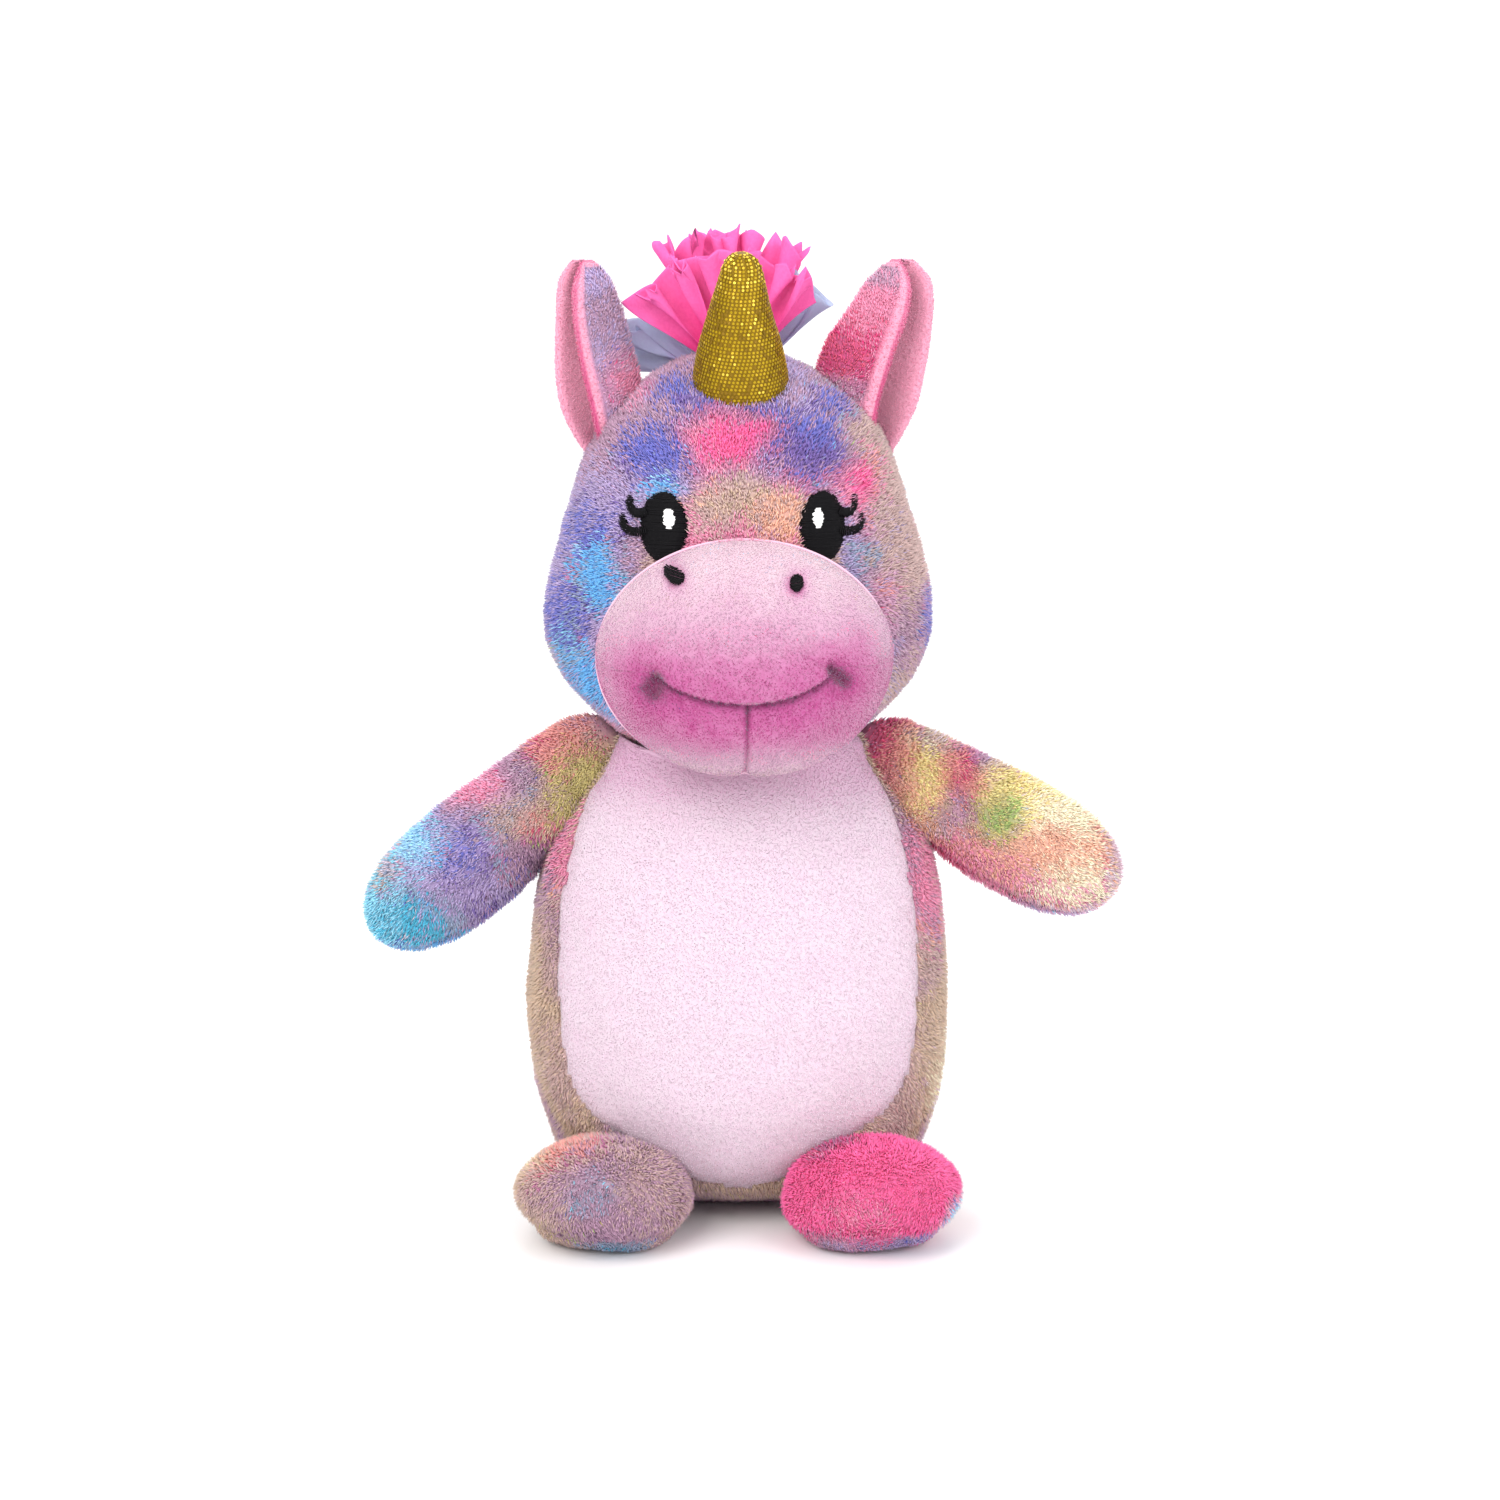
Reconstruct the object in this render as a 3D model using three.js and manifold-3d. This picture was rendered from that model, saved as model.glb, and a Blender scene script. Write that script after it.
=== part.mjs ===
// A sitting plush unicorn: sewn fabric panels around removable stuffing, with a stuffed horn, a tulle mane
// and tail, and a zip across the lower back. Millimetres, +Z up, the toy looks along -Y and sits on z = 0.
import * as THREE from "three";
import { mergeVertices } from "three/addons/utils/BufferGeometryUtils.js";
import Module from "manifold-3d";

const wasm = await Module();
wasm.setup();

// ---------------------------------------------------------------- driving dimensions

const FABRIC = 2.4; // thickness of a sewn panel, backing and pile together
const GAP = 0.4; // clearance between pieces that touch
const FAR = 400; // longer than the toy, for cutting tools
const SIDES = 20; // points round a body or head section

// Torso sections from the seat up: half width, and reach to the front and to the back.
const TORSO = [
  { z: 0, w: 50, front: 28, back: 40 },
  { z: 5, w: 62, front: 41, back: 50 },
  { z: 18, w: 71, front: 51, back: 57 },
  { z: 40, w: 76, front: 59, back: 61 },
  { z: 75, w: 78, front: 62, back: 63 },
  { z: 105, w: 76.5, front: 59, back: 61 },
  { z: 130, w: 73, front: 53, back: 56 },
  { z: 150, w: 66, front: 46, back: 50 },
  { z: 168, w: 54, front: 39, back: 42 },
  { z: 182, w: 43, front: 32, back: 35 },
];
const BASE_SEAM = 7; // height of the seam round the seat panel
const STUFFING_LOW = 22; // underside of the body stuffing, above the pouch
const POUCH = [
  { z: 4, w: 30, front: 16, back: 22 },
  { z: 8, w: 42, front: 27, back: 34 },
  { z: 14, w: 44, front: 29, back: 36 },
  { z: 20, w: 34, front: 20, back: 26 },
];

// Half width of the belly panel at each height; it closes to a point in front of the seat.
const BELLY = [
  [12, 0],
  [15, 15],
  [24, 33],
  [42, 60],
  [60, 68],
  [82, 69.5],
  [112, 67.5],
  [132, 63],
  [152, 56],
  [166, 47],
  [184, 41],
];

// Head sections. The lower end is part of a ball about NECK_CENTRE, so that the head can turn and nod.
const NECK_CENTRE = new THREE.Vector3(0, 0, 236);
const HEAD_BALL = 71.5;
const NECK_SOCKET = 74.5;
const NECK_RING_RADIUS = 36;
const HEAD = [
  { z: 166, w: 10, front: 10, back: 10 },
  { z: 172, w: 30, front: 28, back: 28 },
  { z: 180, w: 43, front: 38, back: 38 },
  { z: 190, w: 55, front: 47, back: 46 },
  { z: 201, w: 65, front: 54, back: 53 },
  { z: 214, w: 70.5, front: 58, back: 58 },
  { z: 228, w: 71, front: 60, back: 60 },
  { z: 246, w: 68, front: 59.5, back: 60 },
  { z: 266, w: 62.5, front: 56, back: 57 },
  { z: 284, w: 56, front: 49, back: 50 },
  { z: 300, w: 45, front: 38, back: 40 },
  { z: 313, w: 29, front: 24, back: 26 },
  { z: 321, w: 8, front: 7, back: 8 },
];
const HEAD_TURN = THREE.MathUtils.degToRad(2.4); // the sewn head looks a little to +X
const HEAD_SEAM = 8; // the ear-to-ear seam stands this far behind the neck axis

// Muzzle: an oval cushion on the face, sewn round its widest line.
const MUZZLE = { y: -56, z: 217.5, halfWidth: 55.5, halfHeight: 43, front: 40, back: 40 };
const SMILE = { z: 206, rise: 11, halfWidth: 34 };

const EMBROIDERY_BACK = -30; // all the stitching lies in front of this plane
const EYE = { x: 28.8, z: 263, halfWidth: 8, halfHeight: 12.5, thickness: 1.2 };
const HIGHLIGHT = { shift: 1.6, z: 266.5, halfWidth: 1.9, halfHeight: 3.1, lift: 0.3, thickness: 0.6 };
const NOSTRILS = {
  left: [-26.6, 250],
  right: [18.1, 247.6],
  halfWidth: 3.2,
  halfHeight: 2.6,
  thickness: 1.4,
};
// Lashes: each runs from a root to a tip, given as [distance out from the eye's middle, height].
const LASH = {
  upper: { root: [8.3, 268], tip: [13.5, 274.5] },
  lower: { root: [8.6, 263], tip: [15.5, 266.5] },
  halfWidth: 1.1,
  sag: 2,
  tipCut: 0.6,
};

const LAME_THICKNESS = 1.2;
const HORN = { y: -24, z: 302, tilt: -14, length: 58, baseRadius: 18.5, tipRadius: 5 };

const EAR = { x: 46, y: 6, z: 293, length: 63, width: 54, lean: 11, toe: 42, foldRadius: 17 };
const TULLE_HALF_THICKNESS = 0.6;
const MANE = { y: 10, z: 312 };
const TAIL = { y: 60, z: 78, droop: 26 };

// Tilts about X, in degrees, at which each soft piece is cut clear of what it is sewn to.
const EAR_TILTS = [-20, -10, 0, 10, 20];
const HORN_TILTS = [-10, 0, 10];
const MANE_TILTS = [-15, 0, 15];
const TAIL_TILTS = [0, 10, 20, 30];

const SHOULDER = new THREE.Vector3(61.5, 2, 163);
const SHOULDER_NORMAL = new THREE.Vector3(0.9, 0, 0.43).normalize();
const ARM_BALL = 13.5;
const ARM_RING = 15;
const ARM_SOCKET = 16.7;
const ARM_TIP_Y = -8; // the hands lie this far forward of the shoulders
const ARM_SEAM_ROLL = 24; // the front and back panels meet in a plane tipped this far forward below the arm
// Arm sections: distance from the shoulder, half height and half depth.
const ARM = [
  [9, 4.5, 4.5],
  [20, 8.6, 8.6],
  [32, 13.6, 13.4],
  [46, 19, 17.6],
  [60, 20.5, 18.6],
  [74, 19.6, 17.8],
  [86, 15.5, 14],
  [92, 9.5, 8.6],
  [94.5, 3, 2.8],
];
const LEFT_ARM_DROP = 39.5;
const RIGHT_ARM_DROP = 30.6;

const FOOT = { x: 49.5, y: -56, halfWidth: 30, halfLength: 40, height: 36, toeOut: 22, seam: 7 };
const FOOT_HINGE = { x: 0, y: -33, z: 9 };
const FOOT_TILTS = [0, -9, -18, -25];
const FOOT_CLEARANCE = 1.2;

// Zip: an arc about a vertical axis, where the back panels meet the seat.
const ZIP = {
  axisY: -34,
  radius: 90.5,
  halfAngle: 33,
  z: 14,
  tape: 4,
  coil: 1.2,
  coilWidth: 1.7,
  parting: 0.2,
};
const TAPE_THICKNESS = 0.8;
const SLIDER = { fromEnd: 3, halfAngle: 2.8, halfHeight: 3.2, thickness: 2.2 };
const PULL = { lift: 3.2, from: 0.5, to: 13, halfHeight: 1.6, thickness: 1.2 };
const LABEL = { rootY: 54, tipY: 71, low: 23, high: 34, sway: 1, halfThickness: 0.5 };

// ---------------------------------------------------------------- materials

/** Sewn cloth of one colour. */
function cloth(color, roughness = 0.95) {
  return new THREE.MeshStandardMaterial({ color, roughness, metalness: 0 });
}

/** A shiny metallic surface of one colour. */
function metal(color, roughness, metalness) {
  return new THREE.MeshStandardMaterial({ color, roughness, metalness });
}

const MAUVE = "#b093ae";
const SKY = "#6fb4e8";
const HOT_PINK = "#f2559b";
const PERIWINKLE = "#7b83d6";
const BELLY_PINK = "#f4dff0";
const MUZZLE_PINK = "#e9a6cb";
const LINING_PINK = "#f59bbb";
const TULLE_PINK = "#ff5cb8";
const TULLE_LILAC = "#b9a3d6";
const GOLD = "#b8990f";
const WHITE = "#f7f5f4";
const BLACK = "#141216";

// ---------------------------------------------------------------- solids

/** A closed solid from points and triangle indices, turned to face outwards. */
function solidFrom(points, triangles) {
  const vertProperties = new Float32Array(points.flatMap((p) => [p.x, p.y, p.z]));
  const build = (corners) =>
    new wasm.Manifold(new wasm.Mesh({ numProp: 3, vertProperties, triVerts: new Uint32Array(corners) }));
  const made = build(triangles);
  if (made.volume() > 0) return made;
  return build(triangles.map((_, i) => triangles[i - (i % 3) + (2 - (i % 3))]));
}

/** A three.js geometry as a solid. */
function solidOf(geometry) {
  const bare = geometry.index ? geometry.toNonIndexed() : geometry.clone();
  bare.deleteAttribute("normal");
  bare.deleteAttribute("uv");
  const merged = mergeVertices(bare, 1e-4);
  const at = merged.getAttribute("position");
  const points = Array.from({ length: at.count }, (_, i) => new THREE.Vector3().fromBufferAttribute(at, i));
  return solidFrom(points, Array.from(merged.index.array));
}

/** A named mesh that shows a solid in one material. */
function meshOf(name, solid, material) {
  const { numProp, vertProperties, triVerts } = solid.getMesh();
  const position = new Float32Array((vertProperties.length / numProp) * 3);
  for (let i = 0; i * numProp < vertProperties.length; i++) {
    position.set(vertProperties.subarray(i * numProp, i * numProp + 3), i * 3);
  }
  const geometry = new THREE.BufferGeometry();
  geometry.setAttribute("position", new THREE.BufferAttribute(position, 3));
  geometry.setIndex(new THREE.BufferAttribute(new Uint32Array(triVerts), 1));
  geometry.computeVertexNormals();
  const mesh = new THREE.Mesh(geometry, material);
  mesh.name = name;
  return mesh;
}

/** A solid through a stack of rings with equal point counts, closed flat at both ends. */
function loft(rings) {
  const n = rings[0].length;
  const points = rings.flat();
  const triangles = [];
  for (let k = 0; k + 1 < rings.length; k++) {
    for (let i = 0; i < n; i++) {
      const a = k * n + i;
      const b = k * n + ((i + 1) % n);
      triangles.push(a, b, b + n, a, b + n, a + n);
    }
  }
  const close = (first, order) => {
    const middle = new THREE.Vector3();
    for (let i = 0; i < n; i++) middle.addScaledVector(points[first + i], 1 / n);
    points.push(middle);
    for (let i = 0; i < n; i++) {
      const edge = [first + i, first + ((i + 1) % n)];
      triangles.push(points.length - 1, edge[order], edge[1 - order]);
    }
  };
  close(0, 1);
  close((rings.length - 1) * n, 0);
  return solidFrom(points, triangles);
}

/** A rounded body from its sections, grown outwards (or shrunk, if negative) by an even amount. */
function egg(sections, grow = 0) {
  const low = sections[0].z;
  const high = sections[sections.length - 1].z;
  const middle = (low + high) / 2;
  const stretch = 1 + (2 * grow) / (high - low);
  return loft(
    sections.map(({ z, w, front, back }) =>
      Array.from({ length: SIDES }, (_, i) => {
        const angle = (2 * Math.PI * i) / SIDES;
        const reach = Math.sin(angle) < 0 ? front : back;
        const x = Math.max(w + grow, 1) * Math.cos(angle);
        const y = Math.max(reach + grow, 1) * Math.sin(angle);
        return new THREE.Vector3(x, y, middle + (z - middle) * stretch);
      }),
    ),
  );
}

/** A faceted ball about a point, whose corners lie on the radius. */
function ball(centre, radius, turns = 14, rows = 8) {
  return solidOf(new THREE.SphereGeometry(radius, turns, rows)).translate(centre.x, centre.y, centre.z);
}

/** A ball-shaped hollow about a point, whose facets all keep clear of the radius. */
function socket(centre, radius, turns = 18, rows = 12) {
  const flatness = Math.cos(Math.PI / turns) * Math.cos(Math.PI / rows / 2);
  return ball(centre, radius / flatness, turns, rows);
}

/** A box between two corners, for cutting. */
function block(low, high) {
  const size = high.map((v, i) => v - low[i]);
  const middle = high.map((v, i) => (v + low[i]) / 2);
  return solidOf(new THREE.BoxGeometry(...size)).translate(...middle);
}

/** An outline of [x, z] points pushed along Y from one depth to another. */
function prism(outline, fromY, toY) {
  const shape = new THREE.Shape(outline.map(([x, z]) => new THREE.Vector2(x, z)));
  const geometry = new THREE.ExtrudeGeometry(shape, { depth: toY - fromY, bevelEnabled: false });
  geometry.rotateX(Math.PI / 2);
  return solidOf(geometry).translate(0, toY, 0);
}

/** An ellipse outline of [x, z] points. */
function ellipse(x, z, halfWidth, halfHeight, sides = 16) {
  return Array.from({ length: sides }, (_, i) => {
    const angle = (2 * Math.PI * i) / sides;
    return [x + halfWidth * Math.cos(angle), z + halfHeight * Math.sin(angle)];
  });
}

/** Cuts a solid clear of an obstacle at each of several tilts about a line along X through a pivot. */
function clearAtTilts(solid, obstacle, pivot, tilts) {
  const centred = obstacle.translate(-pivot.x, -pivot.y, -pivot.z);
  return tilts.reduce(
    (left, tilt) => left.subtract(centred.rotate(-tilt, 0, 0).translate(pivot.x, pivot.y, pivot.z)),
    solid,
  );
}

/** A sheet of cloth as a solid: pointAt(u, v) gives its middle surface, with u across and v along. */
function thickSheet(pointAt, across, along, low, high) {
  const step = 1e-3;
  const points = [];
  const triangles = [];
  for (const side of [low, high]) {
    for (let j = 0; j <= along; j++) {
      for (let i = 0; i <= across; i++) {
        const [u, v] = [i / across, j / along];
        const here = pointAt(u, v);
        const sideways = pointAt(u + step, v).sub(pointAt(u - step, v));
        const up = pointAt(u, v + step).sub(pointAt(u, v - step));
        points.push(here.addScaledVector(sideways.cross(up).normalize(), side));
      }
    }
  }
  const row = across + 1;
  const layer = row * (along + 1);
  for (let j = 0; j < along; j++) {
    for (let i = 0; i < across; i++) {
      const a = j * row + i;
      triangles.push(a, a + row, a + row + 1, a, a + row + 1, a + 1);
      const b = a + layer;
      triangles.push(b, b + row + 1, b + row, b, b + 1, b + row + 1);
    }
  }
  const rim = [];
  for (let i = 0; i < across; i++) rim.push(i);
  for (let j = 0; j < along; j++) rim.push(j * row + across);
  for (let i = across; i > 0; i--) rim.push(along * row + i);
  for (let j = along; j > 0; j--) rim.push(j * row);
  rim.forEach((a, k) => {
    const b = rim[(k + 1) % rim.length];
    triangles.push(a, b, b + layer, a, b + layer, a + layer);
  });
  return solidFrom(points, triangles);
}

// ---------------------------------------------------------------- torso

/** The belly panel's outline, let out by an allowance. */
function bellyOutline(allowance) {
  const right = BELLY.map(([z, w], i) => {
    const isEnd = i === 0 ? -1 : i === BELLY.length - 1 ? 1 : 0;
    return [w + allowance, z + allowance * isEnd];
  });
  return [...right, ...right.map(([x, z]) => [-x, z]).reverse()];
}

/** The bent slot along the lower back that the zip lies in. */
function zipArc(low, high, inner, outer, from = -ZIP.halfAngle, to = ZIP.halfAngle) {
  const at = (radius, degrees, z) => {
    const angle = THREE.MathUtils.degToRad(degrees);
    return new THREE.Vector3(radius * Math.sin(angle), ZIP.axisY + radius * Math.cos(angle), z);
  };
  const steps = Math.max(2, Math.round((to - from) / 6));
  return loft(
    Array.from({ length: steps + 1 }, (_, i) => {
      const degrees = from + ((to - from) * i) / steps;
      return [
        at(inner, degrees, low),
        at(outer, degrees, low),
        at(outer, degrees, high),
        at(inner, degrees, high),
      ];
    }),
  );
}

/** The hollows at the neck and the two shoulders, grown by an allowance. */
function joints(allowance) {
  return socket(NECK_CENTRE, NECK_SOCKET + allowance)
    .add(socket(SHOULDER, ARM_SOCKET + allowance, 12, 8))
    .add(socket(mirrored(SHOULDER), ARM_SOCKET + allowance, 12, 8));
}

/** The torso's sewn cover, open at the neck and the arms, before it is parted into panels. */
function torsoCover() {
  const slot = zipArc(ZIP.z - ZIP.tape - 1, ZIP.z + ZIP.tape + 1, ZIP.radius - 7, ZIP.radius + 8,
    -ZIP.halfAngle - 1, ZIP.halfAngle + 1);
  return egg(TORSO)
    .subtract(egg(TORSO, -FABRIC))
    .subtract(joints(0))
    .subtract(slot);
}

/** The same point on the toy's other side. */
function mirrored(point) {
  return new THREE.Vector3(-point.x, point.y, point.z);
}

/** Torso panels, seat, stuffing and the weighted pouch. */
function torsoPieces() {
  const cover = torsoCover();
  const aboveSeat = cover.intersect(block([-FAR, -FAR, BASE_SEAM + GAP], [FAR, FAR, FAR]));
  const sides = aboveSeat.subtract(prism(bellyOutline(GAP), -FAR, -4));
  const stuffing = egg(TORSO, -FABRIC - GAP)
    .subtract(block([-FAR, -FAR, -FAR], [FAR, FAR, STUFFING_LOW]))
    .subtract(joints(GAP));
  return [
    meshOf("belly_panel", aboveSeat.intersect(prism(bellyOutline(0), -FAR, -4)), cloth(BELLY_PINK)),
    meshOf("back_panel_left", sides.intersect(block([-FAR, -FAR, 0], [-GAP / 2, FAR, FAR])), cloth(MAUVE)),
    meshOf("back_panel_right", sides.intersect(block([GAP / 2, -FAR, 0], [FAR, FAR, FAR])), cloth(MAUVE)),
    meshOf("seat_panel", cover.intersect(block([-FAR, -FAR, -1], [FAR, FAR, BASE_SEAM])), cloth(MAUVE)),
    meshOf("body_stuffing", stuffing, cloth(WHITE)),
    meshOf("weight_pouch", egg(POUCH), cloth(WHITE)),
  ];
}

/** The zip's two tapes, two coils, slider and pull tab. */
function zipPieces() {
  const { z, radius, tape, coil, coilWidth, parting, halfAngle } = ZIP;
  const tapeInner = radius - 2 * TAPE_THICKNESS;
  const tapeOuter = radius - TAPE_THICKNESS;
  const coilInner = radius - GAP;
  const coilOuter = radius + coil;
  const start = -halfAngle + SLIDER.fromEnd;
  const bar = (half, inner, thickness, from, to) =>
    zipArc(z - half, z + half, inner, inner + thickness, start + from, start + to);
  const { halfAngle: reach } = SLIDER;
  const slider = bar(SLIDER.halfHeight, coilOuter + GAP, SLIDER.thickness, -reach, reach);
  const pull = bar(PULL.halfHeight, coilOuter + PULL.lift, PULL.thickness, PULL.from, PULL.to);
  const low = z - parting;
  const high = z + parting;
  return [
    meshOf("zip_tape_upper", zipArc(high, z + tape, tapeInner, tapeOuter), cloth(MAUVE, 0.8)),
    meshOf("zip_tape_lower", zipArc(z - tape, low, tapeInner, tapeOuter), cloth(MAUVE, 0.8)),
    meshOf("zip_coil_upper", zipArc(high, z + coilWidth, coilInner, coilOuter), cloth(MAUVE, 0.4)),
    meshOf("zip_coil_lower", zipArc(z - coilWidth, low, coilInner, coilOuter), cloth(MAUVE, 0.4)),
    meshOf("zip_slider", slider, metal(MAUVE, 0.4, 0.6)),
    meshOf("zip_pull", pull, metal(MAUVE, 0.4, 0.6)),
  ];
}

/** The blank ribbon label that stands out of the centre back seam, between the zip and the tail. */
function labelPiece() {
  const { rootY, tipY, low, high, sway, halfThickness } = LABEL;
  const pointAt = (u, v) =>
    new THREE.Vector3(sway * v * v, rootY + (tipY - rootY) * v, low + (high - low) * u);
  const ribbon = thickSheet(pointAt, 2, 3, -halfThickness, halfThickness).subtract(egg(TORSO, GAP));
  return meshOf("care_label", ribbon, cloth(WHITE, 0.5));
}

// ---------------------------------------------------------------- limbs

/** An arm's outline as a solid lying along +X from the shoulder, grown by an allowance. */
function armSolid(allowance) {
  const sides = 10;
  const last = ARM.length - 1;
  const limb = loft(
    ARM.map(([x, halfHeight, halfDepth], k) =>
      Array.from({ length: sides }, (_, i) => {
        const angle = (2 * Math.PI * i) / sides;
        const end = k === last ? allowance : 0;
        const y = Math.max(halfDepth + allowance, 0.8) * Math.cos(angle);
        const z = Math.max(halfHeight + allowance, 0.8) * Math.sin(angle);
        return new THREE.Vector3(x + end, y, z);
      }),
    ),
  );
  return limb.add(ball(new THREE.Vector3(), ARM_BALL + allowance));
}

/** One arm: front and back panel, stuffing, and the seam that joins it to the armhole. */
function armPieces(side, drop, color) {
  const sign = side === "left" ? -1 : 1;
  const cover = armSolid(0).subtract(armSolid(-FABRIC));
  const half = block([-FAR, GAP / 2, -FAR], [FAR, FAR, FAR]);
  const front = cover.intersect(half.rotate(sign < 0 ? ARM_SEAM_ROLL : 180 - ARM_SEAM_ROLL, 0, 0));
  const back = cover.intersect(half.rotate(sign < 0 ? 180 + ARM_SEAM_ROLL : -ARM_SEAM_ROLL, 0, 0));
  const limb = new THREE.Group();
  limb.add(
    meshOf(`arm_${side}_front_panel`, front, cloth(color)),
    meshOf(`arm_${side}_back_panel`, back, cloth(color)),
    meshOf(`arm_${side}_stuffing`, armSolid(-FABRIC - GAP), cloth(WHITE)),
  );
  const shoulder = sign < 0 ? mirrored(SHOULDER) : SHOULDER.clone();
  const hand = THREE.MathUtils.degToRad(drop);
  const forward = Math.asin((ARM_TIP_Y - SHOULDER.y) / ARM[ARM.length - 1][0]);
  limb.position.copy(shoulder);
  limb.rotation.set(0, sign * hand, sign < 0 ? Math.PI - forward : forward, "YZX");

  const normal = sign < 0 ? mirrored(SHOULDER_NORMAL) : SHOULDER_NORMAL.clone();
  const ring = solidOf(new THREE.TorusGeometry(ARM_RING - 0.1, 0.95, 5, 14));
  const seam = meshOf(`arm_${side}_seam`, ring, cloth(color, 0.6));
  seam.quaternion.setFromUnitVectors(new THREE.Vector3(0, 0, 1), normal);
  seam.position.copy(shoulder).addScaledVector(normal, -1.3);
  return [limb, seam];
}

/** A foot's outline: a low dome, hollowed at the back so that it can lift without meeting the belly. */
function footSolid(allowance) {
  const dome = new THREE.SphereGeometry(1, 16, 8);
  dome.scale(FOOT.halfWidth + allowance, FOOT.halfLength + allowance, FOOT.height + allowance);
  const foot = solidOf(dome)
    .rotate(0, 0, FOOT.toeOut)
    .translate(FOOT.x, FOOT.y, 0)
    .subtract(block([-FAR, -FAR, -FAR], [FAR, FAR, -allowance]));
  return clearAtTilts(foot, egg(TORSO, FOOT_CLEARANCE - allowance), FOOT_HINGE, FOOT_TILTS);
}

/** One foot: top panel, sole panel and stuffing. */
function footPieces(side, color) {
  const flip = (solid) => (side === "left" ? solid.mirror([1, 0, 0]) : solid);
  const cover = footSolid(0).subtract(footSolid(-FABRIC));
  const top = cover.intersect(block([-FAR, -FAR, FOOT.seam + GAP / 2], [FAR, FAR, FAR]));
  const sole = cover.intersect(block([-FAR, -FAR, -FAR], [FAR, FAR, FOOT.seam - GAP / 2]));
  return [
    meshOf(`foot_${side}_top_panel`, flip(top), cloth(color)),
    meshOf(`foot_${side}_sole_panel`, flip(sole), cloth(color)),
    meshOf(`foot_${side}_stuffing`, flip(footSolid(-FABRIC - GAP)), cloth(WHITE)),
  ];
}

// ---------------------------------------------------------------- head

/** The muzzle cushion, grown by an allowance. */
function muzzleSolid(allowance) {
  const turns = 18;
  const rows = 9;
  const rings = [];
  for (let k = 1; k < rows; k++) {
    const angle = (Math.PI * k) / rows;
    const reach = Math.cos(angle) > 0 ? MUZZLE.front : MUZZLE.back;
    const y = MUZZLE.y - (reach + allowance) * Math.cos(angle);
    rings.push(
      ellipse(0, MUZZLE.z, (MUZZLE.halfWidth + allowance) * Math.sin(angle),
        (MUZZLE.halfHeight + allowance) * Math.sin(angle), turns)
        .map(([x, z]) => new THREE.Vector3(x, y, z)),
    );
  }
  return loft(rings);
}

/** Everything above the smile line, pushed through the muzzle, lowered by an allowance. */
function aboveSmile(allowance) {
  const { z, rise, halfWidth } = SMILE;
  const line = [-1, -0.75, -0.5, -0.25, 0, 0.25, 0.5, 0.75, 1].map((t) => [
    t * halfWidth,
    z + rise * t * t - allowance,
  ]);
  const sideways = z + rise - allowance;
  return prism([[-FAR, sideways], ...line, [FAR, sideways], [FAR, FAR], [-FAR, FAR]], -FAR, 0);
}

/** Head cover panels, muzzle panels and the two lumps of stuffing. */
function headPieces() {
  const inside = egg(HEAD, -FABRIC);
  const cover = egg(HEAD).subtract(inside);
  const openFace = cover.subtract(muzzleSolid(GAP));
  const behind = openFace.intersect(block([-FAR, HEAD_SEAM + GAP / 2, -FAR], [FAR, FAR, FAR]));
  const muzzle = muzzleSolid(0).subtract(muzzleSolid(-FABRIC)).subtract(egg(HEAD, -FABRIC + GAP));
  const lower = muzzle.subtract(aboveSmile(GAP));
  const front = block([-FAR, -FAR, -FAR], [FAR, HEAD_SEAM - GAP / 2, FAR]);
  const left = block([-FAR, -FAR, -FAR], [-GAP / 2, FAR, FAR]);
  const right = block([GAP / 2, -FAR, -FAR], [FAR, FAR, FAR]);
  return [
    meshOf("face_panel", openFace.intersect(front), cloth(PERIWINKLE)),
    meshOf("head_back_panel_left", behind.intersect(left), cloth(MAUVE)),
    meshOf("head_back_panel_right", behind.intersect(right), cloth(SKY)),
    meshOf("head_stuffing", egg(HEAD, -FABRIC - GAP), cloth(WHITE)),
    meshOf("muzzle_panel", muzzle.intersect(aboveSmile(0)), cloth(MUZZLE_PINK)),
    meshOf("chin_panel_left", lower.intersect(left), cloth(MUZZLE_PINK)),
    meshOf("chin_panel_right", lower.intersect(right), cloth(MUZZLE_PINK)),
    meshOf("muzzle_stuffing", muzzleSolid(-FABRIC - GAP).subtract(egg(HEAD, 0)), cloth(WHITE)),
  ];
}

/** A patch of embroidery: an outline pressed onto a rounded body between two heights over its surface. */
function embroidery(outline, body, low, high) {
  return body(high).subtract(body(low)).intersect(prism(outline, -FAR, EMBROIDERY_BACK));
}

/** A lash from the eye's outer edge to its curled tip, as an outline of [x, z] points. */
function lashOutline(sign, { root, tip }) {
  const { halfWidth, sag, tipCut } = LASH;
  const bend = [(root[0] * 2 + tip[0]) / 3, (root[1] * 2 + tip[1]) / 3 - sag];
  return [
    [root[0], root[1] - halfWidth],
    [bend[0], bend[1] - halfWidth],
    tip,
    [tip[0] - tipCut, tip[1] + halfWidth],
    [bend[0], bend[1] + halfWidth],
    [root[0], root[1] + halfWidth],
  ].map(([out, z]) => [sign * (EYE.x + out), z]);
}

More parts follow.
